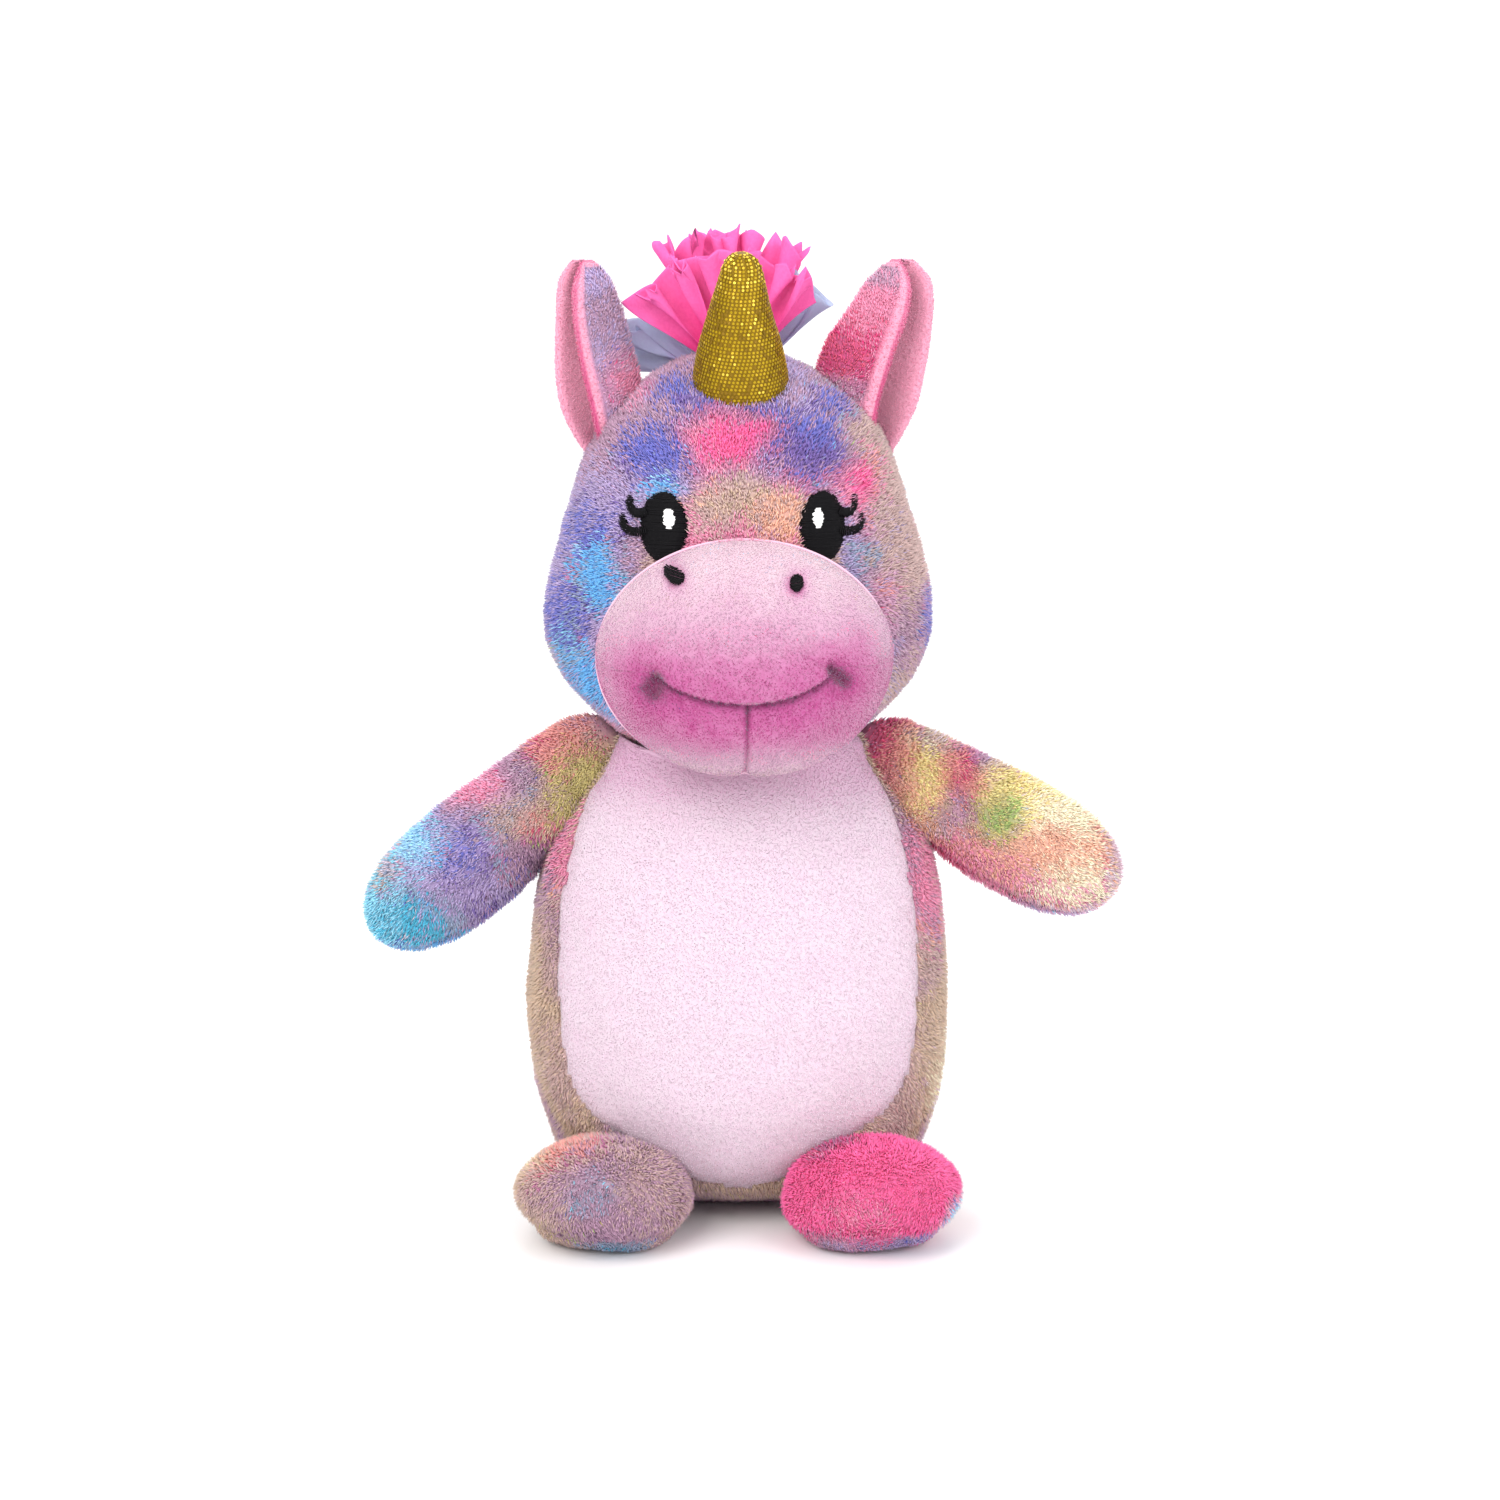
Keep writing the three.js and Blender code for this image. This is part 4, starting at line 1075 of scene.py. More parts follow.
    def _zip(self, threads: ThreadWork) -> list[Object]:
        """Two tapes, two coils, the slider and its pull."""
        z, radius, reach = self.size.zip_height, self.size.zip_radius, self.size.zip_half_angle
        made = []
        for side, sign in (("upper", 1), ("lower", -1)):
            edges = sorted((z + sign * 0.2, z + sign * 4))
            tape = self._strip(f"zip_tape_{side}_cloth", (radius - 1.6, radius - 0.8), tuple(edges),
                               (-reach, reach),
                               60, Finishes.TAPE)
            stands_for(tape, f"zip_tape_{side}")
            line = self._arc(radius + 0.4, z + sign * 0.95, -reach + 0.4, reach - 0.4, 86)
            mesh = make_mesh("coil", line, [], smooth=False, edges=[(i, i + 1) for i in range(len(line) - 1)])
            put(mesh, "lay", "FLOAT_VECTOR", "POINT", np.gradient(line, axis=0))
            none = np.zeros(len(line))
            put_shades(mesh, "POINT", none, none, none)
            coil = Scatter(Element.LOOP, {0: Finishes.COIL.material()}).make(
                f"zip_coil_{side}_loops", mesh, Length=0.0007, Thickness=0.0008, Jitter=0.0, Seed=1)
            made += [tape, stands_for(coil, f"zip_coil_{side}")]
        at = -reach + 3
        slider = self._strip("zip_slider_body", (radius + 1.6, radius + 3.8), (z - 3.2, z + 3.2),
                             (at - 2.8, at + 2.8), 7, Finishes.METAL, 0.6)
        pull = self._strip("zip_pull_tab", (radius + 4.4, radius + 5.6), (z - 1.6, z + 1.6),
                           (at + 0.5, at + 13), 9,
                           Finishes.METAL, 0.3)
        for piece, node in ((slider, "zip_slider"), (pull, "zip_pull")):
            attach(stands_for(piece, node), node)
        return made

    def _label(self) -> None:
        """A blank ribbon folded out of the centre back seam."""
        root, tip, low, high = self.size.label
        along = np.linspace(0, 1, 14)
        rows = []
        for height in np.linspace(low, high, 8):
            x = 1.1 * np.sin(along * 2.6 + 0.03 * (height - low)) * along
            rows.append(np.stack([x, root + (tip - root) * along, height - 2.0 * along**2], axis=1))
        label = cloth_sheet("care_label_ribbon", np.array(rows), 0.35, Finishes.LABEL, None)
        stands_for(label, "care_label")
        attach(label, "torso")


def cloth_sheet(name: str, rows: Array, thickness: float, finish: Finish, colours: Array | None) -> Object:
    """A thin closed sheet through a grid of points in millimetres."""
    height, width = rows.shape[:2]
    index = np.arange(height * width).reshape(height, width)
    faces = np.stack([index[:-1, :-1], index[:-1, 1:], index[1:, 1:], index[1:, :-1]], axis=-1).reshape(-1, 4)
    across = np.gradient(rows, axis=1)
    along = np.gradient(rows, axis=0)
    normals = unit(np.cross(across, along)).reshape(-1, 3)
    points, made, source = thickened(rows.reshape(-1, 3) + normals * thickness / 2, normals, faces, thickness)
    mesh = make_mesh(name, points, made, [finish.material()])
    if colours is not None:
        flat = colours.reshape(-1, 3)[source]
        put(mesh, "dye", "FLOAT_COLOR", "POINT", np.concatenate([flat, np.ones((len(flat), 1))], axis=1))
    return new_object(name, mesh)


# ---------------------------------------------------------------- tulle


@dataclass(frozen=True)
class Fan:
    """A half circle of tulle gathered at a point: its reach, spread and folds."""

    reach: float
    spread: float
    turn: float
    folds: int
    depth: float
    tips: int
    seed: int
    rise: float = 0.0

    def rows(self) -> Array:
        """Points of the sheet standing on the origin, in the XZ plane with folds along Y."""
        u, v = np.meshgrid(np.linspace(0, 1, 170), np.linspace(0.03, 1, 30),
                           indexing="xy")
        flat = np.stack([u * 7 + self.seed, v * 0 + self.seed, v * 1.5], axis=-1).reshape(-1, 3)
        drift = noise(flat, 1.0, self.seed).reshape(u.shape)
        wander = noise(flat * 2.3, 1.0, self.seed + 4).reshape(u.shape)
        phase = 2 * np.pi * self.folds * u + drift * 1.6
        fold = 0.5 * self.spread / self.folds * np.sin(phase) * v
        angle = np.radians(self.turn + (u - 0.5) * self.spread + fold)
        rng = np.random.default_rng(self.seed)
        marks = np.sort(np.concatenate([[0, 1], rng.uniform(0.02, 0.98, 2 * self.tips)]))
        cuts = np.where(np.arange(len(marks)) % 2 == 0, rng.uniform(0, 0.05, len(marks)),
                        rng.uniform(0.07, 0.16, len(marks)))
        radius = self.reach * v * (1 - np.interp(u, marks, cuts) * v**5 - 0.06 * (wander + 1) * v**3)
        y = self.depth * v * np.cos(phase) + self.rise * v**2 + 2.5 * wander * v
        return np.stack([radius * np.sin(angle), y, radius * np.cos(angle)], axis=-1)

    def flat_area(self) -> float:
        """The area of the sheet before it is folded, taken from its folded shape."""
        rows = self.rows()
        crossed = np.cross(rows[1:, 1:] - rows[:-1, :-1], rows[1:, :-1] - rows[:-1, 1:])
        return float(np.linalg.norm(crossed, axis=-1).sum() / 2)


def tulle(name: str, fan: Fan, place: Callable[[Array], Array], finish: Finish, root: str, tip: str,
          rests_on: str) -> Object:
    """One gathered sheet of tulle, made from its fan."""
    rows = fan.rows()
    v = np.linalg.norm(rows, axis=-1) / fan.reach
    share = ease(0.1, 0.9, v + 0.12 * noise(rows.reshape(-1, 3), 6, fan.seed).reshape(v.shape))[..., None]
    colours = linear(root) * (1 - share) + linear(tip) * share
    placed = place(rows.reshape(-1, 3)).reshape(rows.shape)
    piece = cloth_sheet(name, placed, 0.22, finish, colours)
    area = fan.flat_area()
    return piece


# ---------------------------------------------------------------- head


@dataclass(frozen=True)
class HeadSize:
    """Sections of the head and the ellipse of the muzzle."""

    sections: tuple = (
        (165, 0, 0, 0), (166.5, 12, 11, 11), (172.5, 29, 27, 27), (180, 42, 37, 37), (190, 54, 46, 45),
        (201, 63.5, 53, 52), (214, 69, 57, 57), (228, 69.5, 58.5, 58.5), (246, 66, 58, 58.5),
        (264, 60.5, 54.5, 55.5),
        (282, 54, 48, 49), (298, 44, 38.5, 40), (311, 28.5, 25, 26), (318.5, 11, 10, 10), (320.3, 0, 0, 0),
    )
    seam: float = 8.0
    grid: float = 2.3
    turns: int = 190
    muzzle_y: float = -56.0
    muzzle_z: float = 214.8
    muzzle_half: tuple = (51.8, 41.6)
    muzzle_reach: tuple = (38.5, 40.0)
    eye_x: float = 28.0
    eye_z: float = 260.4
    eye_half: tuple = (8.2, 12.2)
    nostrils: tuple = ((-25.0, 246.6), (17.2, 244.6))


class Head:
    """Face and back panels, stuffing, muzzle and embroidery."""

    DYES = TieDye(
        ground=(Dye.MAUVE, Dye.LAVENDER, Dye.BEIGE, Dye.ROSE),
        spots=(
            Spot(Dye.MAUVE, (-38, -20, 298), (32, 34, 26), 1.0),
            Spot(Dye.ROSE, (-44, -12, 306), (16, 30, 9), 0.5),
            Spot(Dye.MAUVE, (34, -20, 300), (20, 30, 16), 0.6),
            Spot(Dye.BEIGE, (48, -20, 288), (18, 34, 24), 0.95),
            Spot(Dye.BEIGE, (2, -55, 268), (28, 24, 11), 0.95),
            Spot(Dye.TAN, (-6, -55, 270), (12, 24, 7), 0.6),
            Spot(Dye.PEACH, (14, -52, 264), (14, 24, 9), 0.8),
            Spot(Dye.ROSE, (22, -48, 277), (14, 24, 5), 0.8),
            Spot(Dye.MAUVE, (-8, -52, 282), (16, 24, 7), 0.7),
            Spot(Dye.PERIWINKLE, (-32, -42, 286), (17, 24, 13), 0.95),
            Spot(Dye.SKY, (-29, -46, 273), (11, 24, 5.5), 0.8),
            Spot(Dye.PERIWINKLE, (-24, -30, 307), (13, 24, 5.5), 0.8),
            Spot(Dye.PURPLE, (-13, -38, 302), (9, 24, 5), 0.7),
            Spot(Dye.HOT_PINK, (-2, -46, 291), (19, 24, 10.5)),
            Spot(Dye.PURPLE, (10, -42, 301), (12, 24, 5), 0.8),
            Spot(Dye.PURPLE, (24, -44, 287), (18, 24, 12)),
            Spot(Dye.PERIWINKLE, (26, -42, 293), (11, 24, 7), 0.8),
            Spot(Dye.PERIWINKLE, (34, -26, 303), (12, 24, 7), 0.75),
            Spot(Dye.HOT_PINK, (43, -36, 275), (11, 24, 10), 0.95),
            Spot(Dye.ROSE, (45, -36, 260), (8, 24, 10), 0.6),
            Spot(Dye.BEIGE, (54, -26, 262), (10, 24, 16), 0.8),
            Spot(Dye.SLATE, (42, -40, 248), (8, 24, 8), 0.7),
            Spot(Dye.LAVENDER, (-50, -30, 268), (16, 28, 16), 0.9),
            Spot(Dye.PERIWINKLE, (-53, -28, 254), (15, 28, 14), 0.7),
            Spot(Dye.SKY, (-50, -34, 240), (13, 26, 15)),
            Spot(Dye.MAUVE, (-40, -42, 250), (7, 24, 11), 0.8),
            Spot(Dye.PERIWINKLE, (-62, -20, 224), (15, 28, 14), 0.85),
            Spot(Dye.SKY, (-57, -30, 200), (20, 30, 21), 0.95),
            Spot(Dye.BEIGE, (58, -26, 242), (16, 30, 24), 0.9),
            Spot(Dye.ROSE, (50, -36, 232), (10, 24, 11), 0.4),
            Spot(Dye.MAUVE, (64, -22, 214), (13, 28, 16), 0.8),
            Spot(Dye.PERIWINKLE, (68, -8, 222), (7, 18, 13), 0.8),
            Spot(Dye.ICE, (62, 12, 258), (16, 11, 46), 0.9),
            Spot(Dye.BEIGE, (58, -28, 198), (16, 28, 14), 0.8),
        ),
        strewn=15, seed=31, behind=16,
    )

    def __init__(self, size: HeadSize = HeadSize()) -> None:
        self.size = size
        self.surface = egg(size.sections, size.grid, size.turns)
        p = self.surface.points
        on_face = ease(-30, -48, p[:, 1]) * ease(40, 20, np.abs(p[:, 0])) * ease(235, 245, p[:, 2])
        lumps = noise(p, 28, 6) * 0.9 + noise(p, 12, 7) * 0.35
        lumps *= (1 - 0.6 * on_face) * ease(178, 196, p[:, 2])
        seam = p[:, 1] - size.seam
        back_seam = np.where(p[:, 1] > size.seam, np.abs(p[:, 0]), 99)
        dip = -1.5 * bump(seam, 2.6) - 1.2 * bump(back_seam, 2.4)
        dip += 0.5 * bump(seam - 8, 7) + noise(p, 5.5, 9) * 0.5 * bump(seam, 8)
        eyes = self._eye_distance(p)
        dip -= 0.9 * ease(1.35, 0.9, eyes)
        self.surface.pushed(lumps * ease(-0.1, 0.2, 1 - bump(p[:, 2] - 164, 10)) + dip)

    def _eye_distance(self, p: Array) -> Array:
        """1 on the edge of the nearer eye, less inside it."""
        z = self.size
        away = [np.hypot((p[:, 0] - s * z.eye_x) / z.eye_half[0],
                         (p[:, 2] - z.eye_z) / z.eye_half[1]) for s in (-1, 1)]
        return np.where(p[:, 1] < 0, np.minimum(*away), 9)

    def face_depth(self, x: Array, z: Array) -> Array:
        """Y of the face's front at places across it."""
        rows = through(np.array(self.size.sections, float), 2.0)
        width = np.interp(z, rows[:, 0], rows[:, 1])
        reach = np.interp(z, rows[:, 0], rows[:, 2])
        return -reach * np.sqrt(np.clip(1 - (x / np.maximum(width, 1)) ** 2, 0.01, 1))

    def build(self, threads: ThreadWork) -> None:
        """Makes every piece that belongs to the head."""
        size, s = self.size, self.surface
        colours = self.DYES.colours(s.points)
        p = s.points.copy()
        middles = s.on_faces(s.points)
        s.moved(head_placed(p))
        cover = Cover(s, colours, 41)
        muzzle = np.hypot(p[:, 0] / (size.muzzle_half[0] - 3),
                          (p[:, 2] - size.muzzle_z) / (size.muzzle_half[1] - 3))
        hidden = (p[:, 1] < 0) & (muzzle < 1)
        horn = np.hypot(p[:, 0], p[:, 1] + 20.5) < 14.5
        neck = np.hypot(p[:, 0], p[:, 1]) < 34
        cover.bare[hidden | (horn & (p[:, 2] > 290)) | (neck & (p[:, 2] < 200))] = 0
        cover.bare *= ease(0.86, 1.02, self._eye_distance(p))
        away = p - np.array([0, -60, 238])
        away[:, 2] *= 1.2
        cover.towards = head_placed(unit(away) * 1.2 + np.array([0, 0.3, -0.25]))
        front = middles[:, 1] < size.seam
        made = []
        for name, mark in (("face_panel", front), ("head_back_panel_left", ~front & (middles[:, 0] < 0)),
                           ("head_back_panel_right", ~front & (middles[:, 0] >= 0))):
            made += cover.panel(name, mark)
        stuffing = egg(size.sections, 8, 44)
        stuffing.moved(head_placed(stuffing.points - stuffing.normals * 4))
        made.append(stuffed("head_stuffing", stuffing))
        muzzle_part = Muzzle(size)
        made += muzzle_part.build(threads)
        made += Embroidery(self, muzzle_part, threads).build()
        joined_to(made, "head")


class Muzzle:
    """The velour cushion of the muzzle with its pinched smile."""

    def __init__(self, size: HeadSize) -> None:
        self.size = size
        rows, turns = ((104, 300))
        bend = np.linspace(0, np.pi, rows)
        around = np.sin(bend) ** 0.9
        reach = np.cos(bend)
        y = np.where(reach > 0, size.muzzle_y - size.muzzle_reach[0] * np.abs(reach) ** 0.85,
                     size.muzzle_y + size.muzzle_reach[1] * np.abs(reach) ** 0.85)
        angle = np.linspace(0, 2 * np.pi, turns, endpoint=False)
        x = size.muzzle_half[0] * around[:, None] * np.cos(angle)
        z = size.muzzle_z + size.muzzle_half[1] * around[:, None] * np.sin(angle)
        self.surface = Surface(np.stack([x, np.repeat(y[:, None], turns, axis=1), z], axis=-1))
        p = self.surface.points
        self.front = ease(size.muzzle_y + 4, size.muzzle_y - 8, p[:, 1])
        amount, self.crease = self.sculpt(p[:, 0], p[:, 2])
        lumps = noise(p, 17, 12) * 0.5 + noise(p, 7, 13) * 0.16
        edge = -1.0 * bump(p[:, 1] - size.muzzle_y - 2.5, 2.2)
        self.surface.pushed((amount + lumps) * self.front + edge)
        self.pink_and_painted_light = self.pinks_with_painted_light(p)

    def depth(self, x: Array, z: Array) -> Array:
        """Y of the muzzle's front at places across it."""
        size = self.size
        away = np.hypot(x / size.muzzle_half[0], (z - size.muzzle_z) / size.muzzle_half[1])
        bend = np.arcsin(np.clip(away, 0, 1) ** (1 / 0.9))
        return size.muzzle_y - size.muzzle_reach[0] * np.cos(bend) ** 0.85

    @staticmethod
    def smile_height(x: Array) -> Array:
        """Z of the mouth line."""
        t = (x + 0.6) / 31
        return 204.2 + np.where(t < 0, 8.4, 10.4) * np.abs(t) ** 2.1

    def sculpt(self, x: Array, z: Array) -> tuple[Array, Array]:
        """How far the front is pushed out at each place, and how deep in a crease it lies from 0 to 1."""
        above = z - self.smile_height(x)
        along = (x + 1.3) / 31.0
        window = ease(1.04, 0.88, np.abs(along))
        lip = 0.5 * (1 + np.tanh(above / 0.4))
        lift = lip * 2.2 * bump(above, 7.0) - (1 - lip) * 3.0 * bump(above, 2.6, 1.3)
        amount = window * lift * (0.85 + 0.15 * bump(along, 0.7))
        amount += 1.3 * bump(above + 12, 6) * ease(1.3, 0.8, np.abs(along))
        crease = window * (1 - lip) * bump(above, 1.5, 1.5) * 0.9
        tucks = (
            (-32.0, 212.0, -33.5, 207.5, 3.4, 3.4), (29.3, 215.4, 34.5, 210.5, 2.4, 3.2),
            (-23.3, 203.5, -18.5, 196.5, 2.6, 1.0), (20.3, 220.5, 29.8, 215.5, 1.5, 0.9),
            (-38.5, 217.0, -33.0, 212.0, 2.2, 0.8),
        )
        for x0, z0, x1, z1, width, deep in tucks:
            span = np.array([x1 - x0, z1 - z0])
            t = np.clip(((x - x0) * span[0] + (z - z0) * span[1]) / (span @ span), 0, 1)
            away = np.hypot(x - x0 - t * span[0], z - z0 - t * span[1])
            amount -= deep * bump(away, width, 1.7)
            crease = np.maximum(crease, bump(away, width * 0.9, 1.8) * min(1.0, deep / 4.4) * 0.8)
        for x0, z0, reach, high in ((-44, 221, 11, 1.6), (43, 225, 11, 1.6), (-14, 190, 14, 1.2),
                                    (17, 192, 14, 1.4)):
            amount += high * bump(np.hypot(x - x0, z - z0), reach)
        centre = np.where(above < -0.5, np.abs(x + 0.3), 99)
        amount -= 1.2 * bump(centre, 1.1) + 0.5 * bump(centre, 4)
        crease = np.maximum(crease, 0.5 * bump(centre, 1.1))
        notch = np.hypot(x + 0.2, z - (self.size.muzzle_z - self.size.muzzle_half[1]))
        amount -= 1.6 * bump(notch, 1.7)
        for nx, nz in self.size.nostrils:
            away = np.hypot(x - nx, z - nz)
            amount -= 1.6 * bump(away, 3.6)
            crease = np.maximum(crease, 0.55 * bump(away, 4.0, 3))
        return amount, crease

    def pinks_with_painted_light(self, p: Array) -> Array:
        """How deep the pink is at each place, from 0 to 1: an airbrushed fade, with painted shade in the
        creases, under the lip, in the mouth corners and round the nostrils, and painted light on the chin's
        underside.
        """
        x, z = p[:, 0], p[:, 2]
        # Deeper pink from the pale top downwards. Paler again at the chin's bottom: partly its airbrushed
        # colour and partly painted light on the underside, which faces the floor.
        pink_and_painted_light = 0.04 + 0.57 * ease(254, 209, z + 0.05 * np.abs(x)) - 0.42 * ease(195, 177, z)
        above = z - self.smile_height(x)
        near = ease(1.5, 0.6, np.abs((x + 1.3) / 31.0))
        # Deeper near the mouth line, and more so just under the lip as painted shade.
        pink_and_painted_light += 0.06 * bump(above, 14) * near + 0.07 * bump(above + 5, 9) * near * (above < 1)
        pink_and_painted_light -= 0.14 * ease(36, 50, np.abs(x)) * ease(184, 200, z)
        # Painted shade in the tucks at the mouth corners.
        for cx, cz, reach in ((-34.5, 208, 10), (34, 211, 8.5)):
            pink_and_painted_light += 0.26 * bump(np.hypot((x - cx), (z - cz)), reach, 1.5)
        # Painted shade in the hollow round each nostril.
        for cx, cz in self.size.nostrils:
            pink_and_painted_light += 0.3 * bump(np.hypot(x - cx, z - cz), 4.6, 2.5)
        pink_and_painted_light += 0.06 * noise(p, 8, 14) + 0.05 * noise(p, 2.5, 15)
        # Painted shade deepens the pink in the creases.
        return np.clip(pink_and_painted_light + 0.45 * self.crease, 0, 1)

    def colours(self) -> Array:
        """The pinks of the velour."""
        # The deepest stops are reached only where painted shade is added in the creases.
        stops = np.array([0, 0.3, 0.56, 0.8, 1.0])
        codes = ("D8BFCA", "CDA2B9", "C277A2", "B24486", "6E1749")
        table = np.array([linear(code) for code in codes])
        return np.stack([np.interp(self.pink_and_painted_light, stops, table[:, k]) for k in range(3)], axis=1)

    def build(self, threads: ThreadWork) -> list[Object]:
        """Makes the three sewn panels, the raised seam edge, pale as a painted highlight, and the stuffing."""
        s, size = self.surface, self.size
        p = s.points.copy()
        middles = s.on_faces(s.points)
        s.moved(head_placed(p))
        cover = Cover(s, self.colours(), 51, VELOUR_THICKNESS)
        cover.bare = ease(size.muzzle_y + 12, size.muzzle_y + 2, p[:, 1]) * (1 - 0.6 * self.crease)
        knots = np.minimum(*(np.hypot(p[:, 0] - x, p[:, 2] - z) for x, z in size.nostrils))
        cover.bare *= ease(2.2, 3.2, knots)
        above = middles[:, 2] > self.smile_height(np.clip(middles[:, 0], -34, 32))
        made = []
        marks = (("muzzle_panel", above), ("chin_panel_left", ~above & (middles[:, 0] < -0.3)),
                 ("chin_panel_right", ~above & (middles[:, 0] >= -0.3)))
        for name, mark in marks:
            made += cover.panel(name, mark, Finishes.VELOUR, "muzzle_velour", VELOUR_PILE)
        angle = np.linspace(0, 2 * np.pi, 241)
        notch = 1 - 0.02 * bump(np.cos(angle) * 55, 2.0) * (np.sin(angle) < 0)
        rim = np.stack([(size.muzzle_half[0] + 0.25) * np.cos(angle), np.full(241, size.muzzle_y - 0.6),
                        size.muzzle_z + (size.muzzle_half[1] + 0.25) * np.sin(angle) * notch], axis=1)
        # The raised seam edge, in a pale thread that paints the highlight along the rim.
        edge = threads.make("muzzle_seam_edge", [head_placed(rim)], 0.55, Finishes.EDGE_HIGHLIGHT, 8)
        x, y, z = np.moveaxis(s.grid[::6, ::8], -1, 0)
        filling = Surface(np.stack([x * 0.93, size.muzzle_y + (y - size.muzzle_y) * 0.7,
                                    size.muzzle_z + (z - size.muzzle_z) * 0.93], axis=-1))
        filling.moved(head_placed(filling.points))
        return [*made, edge, stuffed("muzzle_stuffing", filling)]


class Embroidery:
    """Satin-stitched eyes, highlights, lashes and nostrils."""

    LASHES = {
        "upper": ((6.2, 265.4), (12.6, 262.6), (11.9, 270.6)),
        "lower": ((6.4, 258.8), (15.4, 256.6), (14.4, 264.0)),
    }

    def __init__(self, head: Head, muzzle: Muzzle, threads: ThreadWork) -> None:
        self.head = head
        self.muzzle = muzzle
        self.threads = threads
        self.rng = np.random.default_rng(5)

    def patch(self, x: float, z: float, half: tuple[float, float], depth: Callable, pitch: float, lift: float,
              crown: float, ragged: float, slant: float = 0.0) -> list[Array]:
        """Side-by-side stitches across an oval, each arched over its padding."""
        made = []
        count = max(3, int(2 * half[1] / pitch))
        for k in range(count):
            v = -1 + (2 * k + 1) / count
            reach = half[0] * math.sqrt(max(0.03, 1 - v * v)) + self.rng.uniform(-ragged, ragged)
            t = np.linspace(-1, 1, 9)
            px = x + reach * t + self.rng.uniform(-ragged, ragged) * 0.4
            pz = z + half[1] * v + slant * t * reach + self.rng.uniform(-0.08, 0.08)
            arch = np.sqrt(np.clip(1 - t * t, 0, 1)) * (1 - 0.45 * v * v)
            over = lift + crown * arch - 0.9 * (np.abs(t) > 0.99)
            made.append(np.stack([px, depth(px, pz) - over, pz], axis=1))
        return made

    def lash(self, sign: int, points: Sequence[tuple[float, float]]) -> list[Array]:
        """Short stitches laid across a curl."""
        a, b, c = (np.array(p) for p in points)
        made = []
        for t in np.linspace(0, 1, 26):
            here = (1 - t) ** 2 * a + 2 * t * (1 - t) * b + t * t * c
            way = unit(2 * (1 - t) * (b - a) + 2 * t * (c - b))
            side = np.array([-way[1], way[0]])
            half = 1.55 * (1 - 0.1 * t) * math.sqrt(max(0.15, 1 - max(0.0, (t - 0.86) / 0.14) ** 2))
            s = np.linspace(-1, 1, 6)
            spot = here + side * (s[:, None] * half + self.rng.uniform(-0.1, 0.1))
            x = sign * (self.head.size.eye_x + spot[:, 0])
            over = 1.5 + 0.7 * np.sqrt(np.clip(1 - s * s, 0, 1)) - 0.8 * (np.abs(s) > 0.99)
            made.append(np.stack([x, self.head.face_depth(x, spot[:, 1]) - over, spot[:, 1]], axis=1))
        return made

    def add(self, name: str, node: str, lines: list[Array], radius: float, finish: Thread, slot: str
            ) -> Object:
        """One piece of stitching that stands for one CAD node."""
        piece = self.threads.make(name, [head_placed(line) for line in lines], radius, finish)
        return stands_for(piece, node)

    def build(self) -> list[Object]:
        """Makes all the stitching of the face."""
        size = self.head.size
        face = self.head.face_depth
        made = []
        for side, sign in (("left", -1), ("right", 1)):
            x = sign * size.eye_x
            eye = self.patch(x, size.eye_z, size.eye_half, face, 0.36, 0.7, 1.7, 0.35)
            made.append(self.add(f"eye_{side}_satin", f"eye_{side}", eye, 0.26, Finishes.BLACK,
                                 "black_thread"))
            light = self.patch(x - sign * 1.7, size.eye_z + 3.2, (2.2, 3.4), face, 0.42, 2.3, 0.5, 0.45)
            made.append(self.add(f"eye_{side}_highlight_satin", f"eye_{side}_highlight", light, 0.26,
                                 Finishes.WHITE,
                                 "white_thread"))
            for which, points in self.LASHES.items():
                made.append(self.add(f"lash_{side}_{which}_satin", f"lash_{side}_{which}",
                                     self.lash(sign, points),
                                     0.26, Finishes.BLACK, "black_thread"))
        shapes = (("left", (3.5, 2.5), -0.2), ("right", (2.35, 2.7), 0.1))
        for (side, half, slant), (x, z) in zip(shapes, size.nostrils):
            sunk = lambda px, pz: self.muzzle.depth(px, pz) + 1.0
            knot = self.patch(x, z, half, sunk, 0.42, 0.3, 0.9, 0.2, slant)
            made.append(self.add(f"nostril_{side}_satin", f"nostril_{side}", knot, 0.3, Finishes.BLACK,
                                 "black_thread"))
        return made


# ---------------------------------------------------------------- horn, ears and mane


@dataclass(frozen=True)
class HornSize:
    """The horn's place, tilt and outline (height, radius)."""

    at: tuple = (0.0, -20.5, 308.0)
    tilt: float = 14.0
    outline: tuple = (
        (-9, 0), (-9, 9), (-8, 14.5), (-4, 16.6), (1, 17.0), (9, 15.8), (20, 13.2), (31, 10.2), (40, 7.5),
        (45, 5.7), (48, 3.2), (48.8, 0),
    )
    dot_pitch: float = 1.5


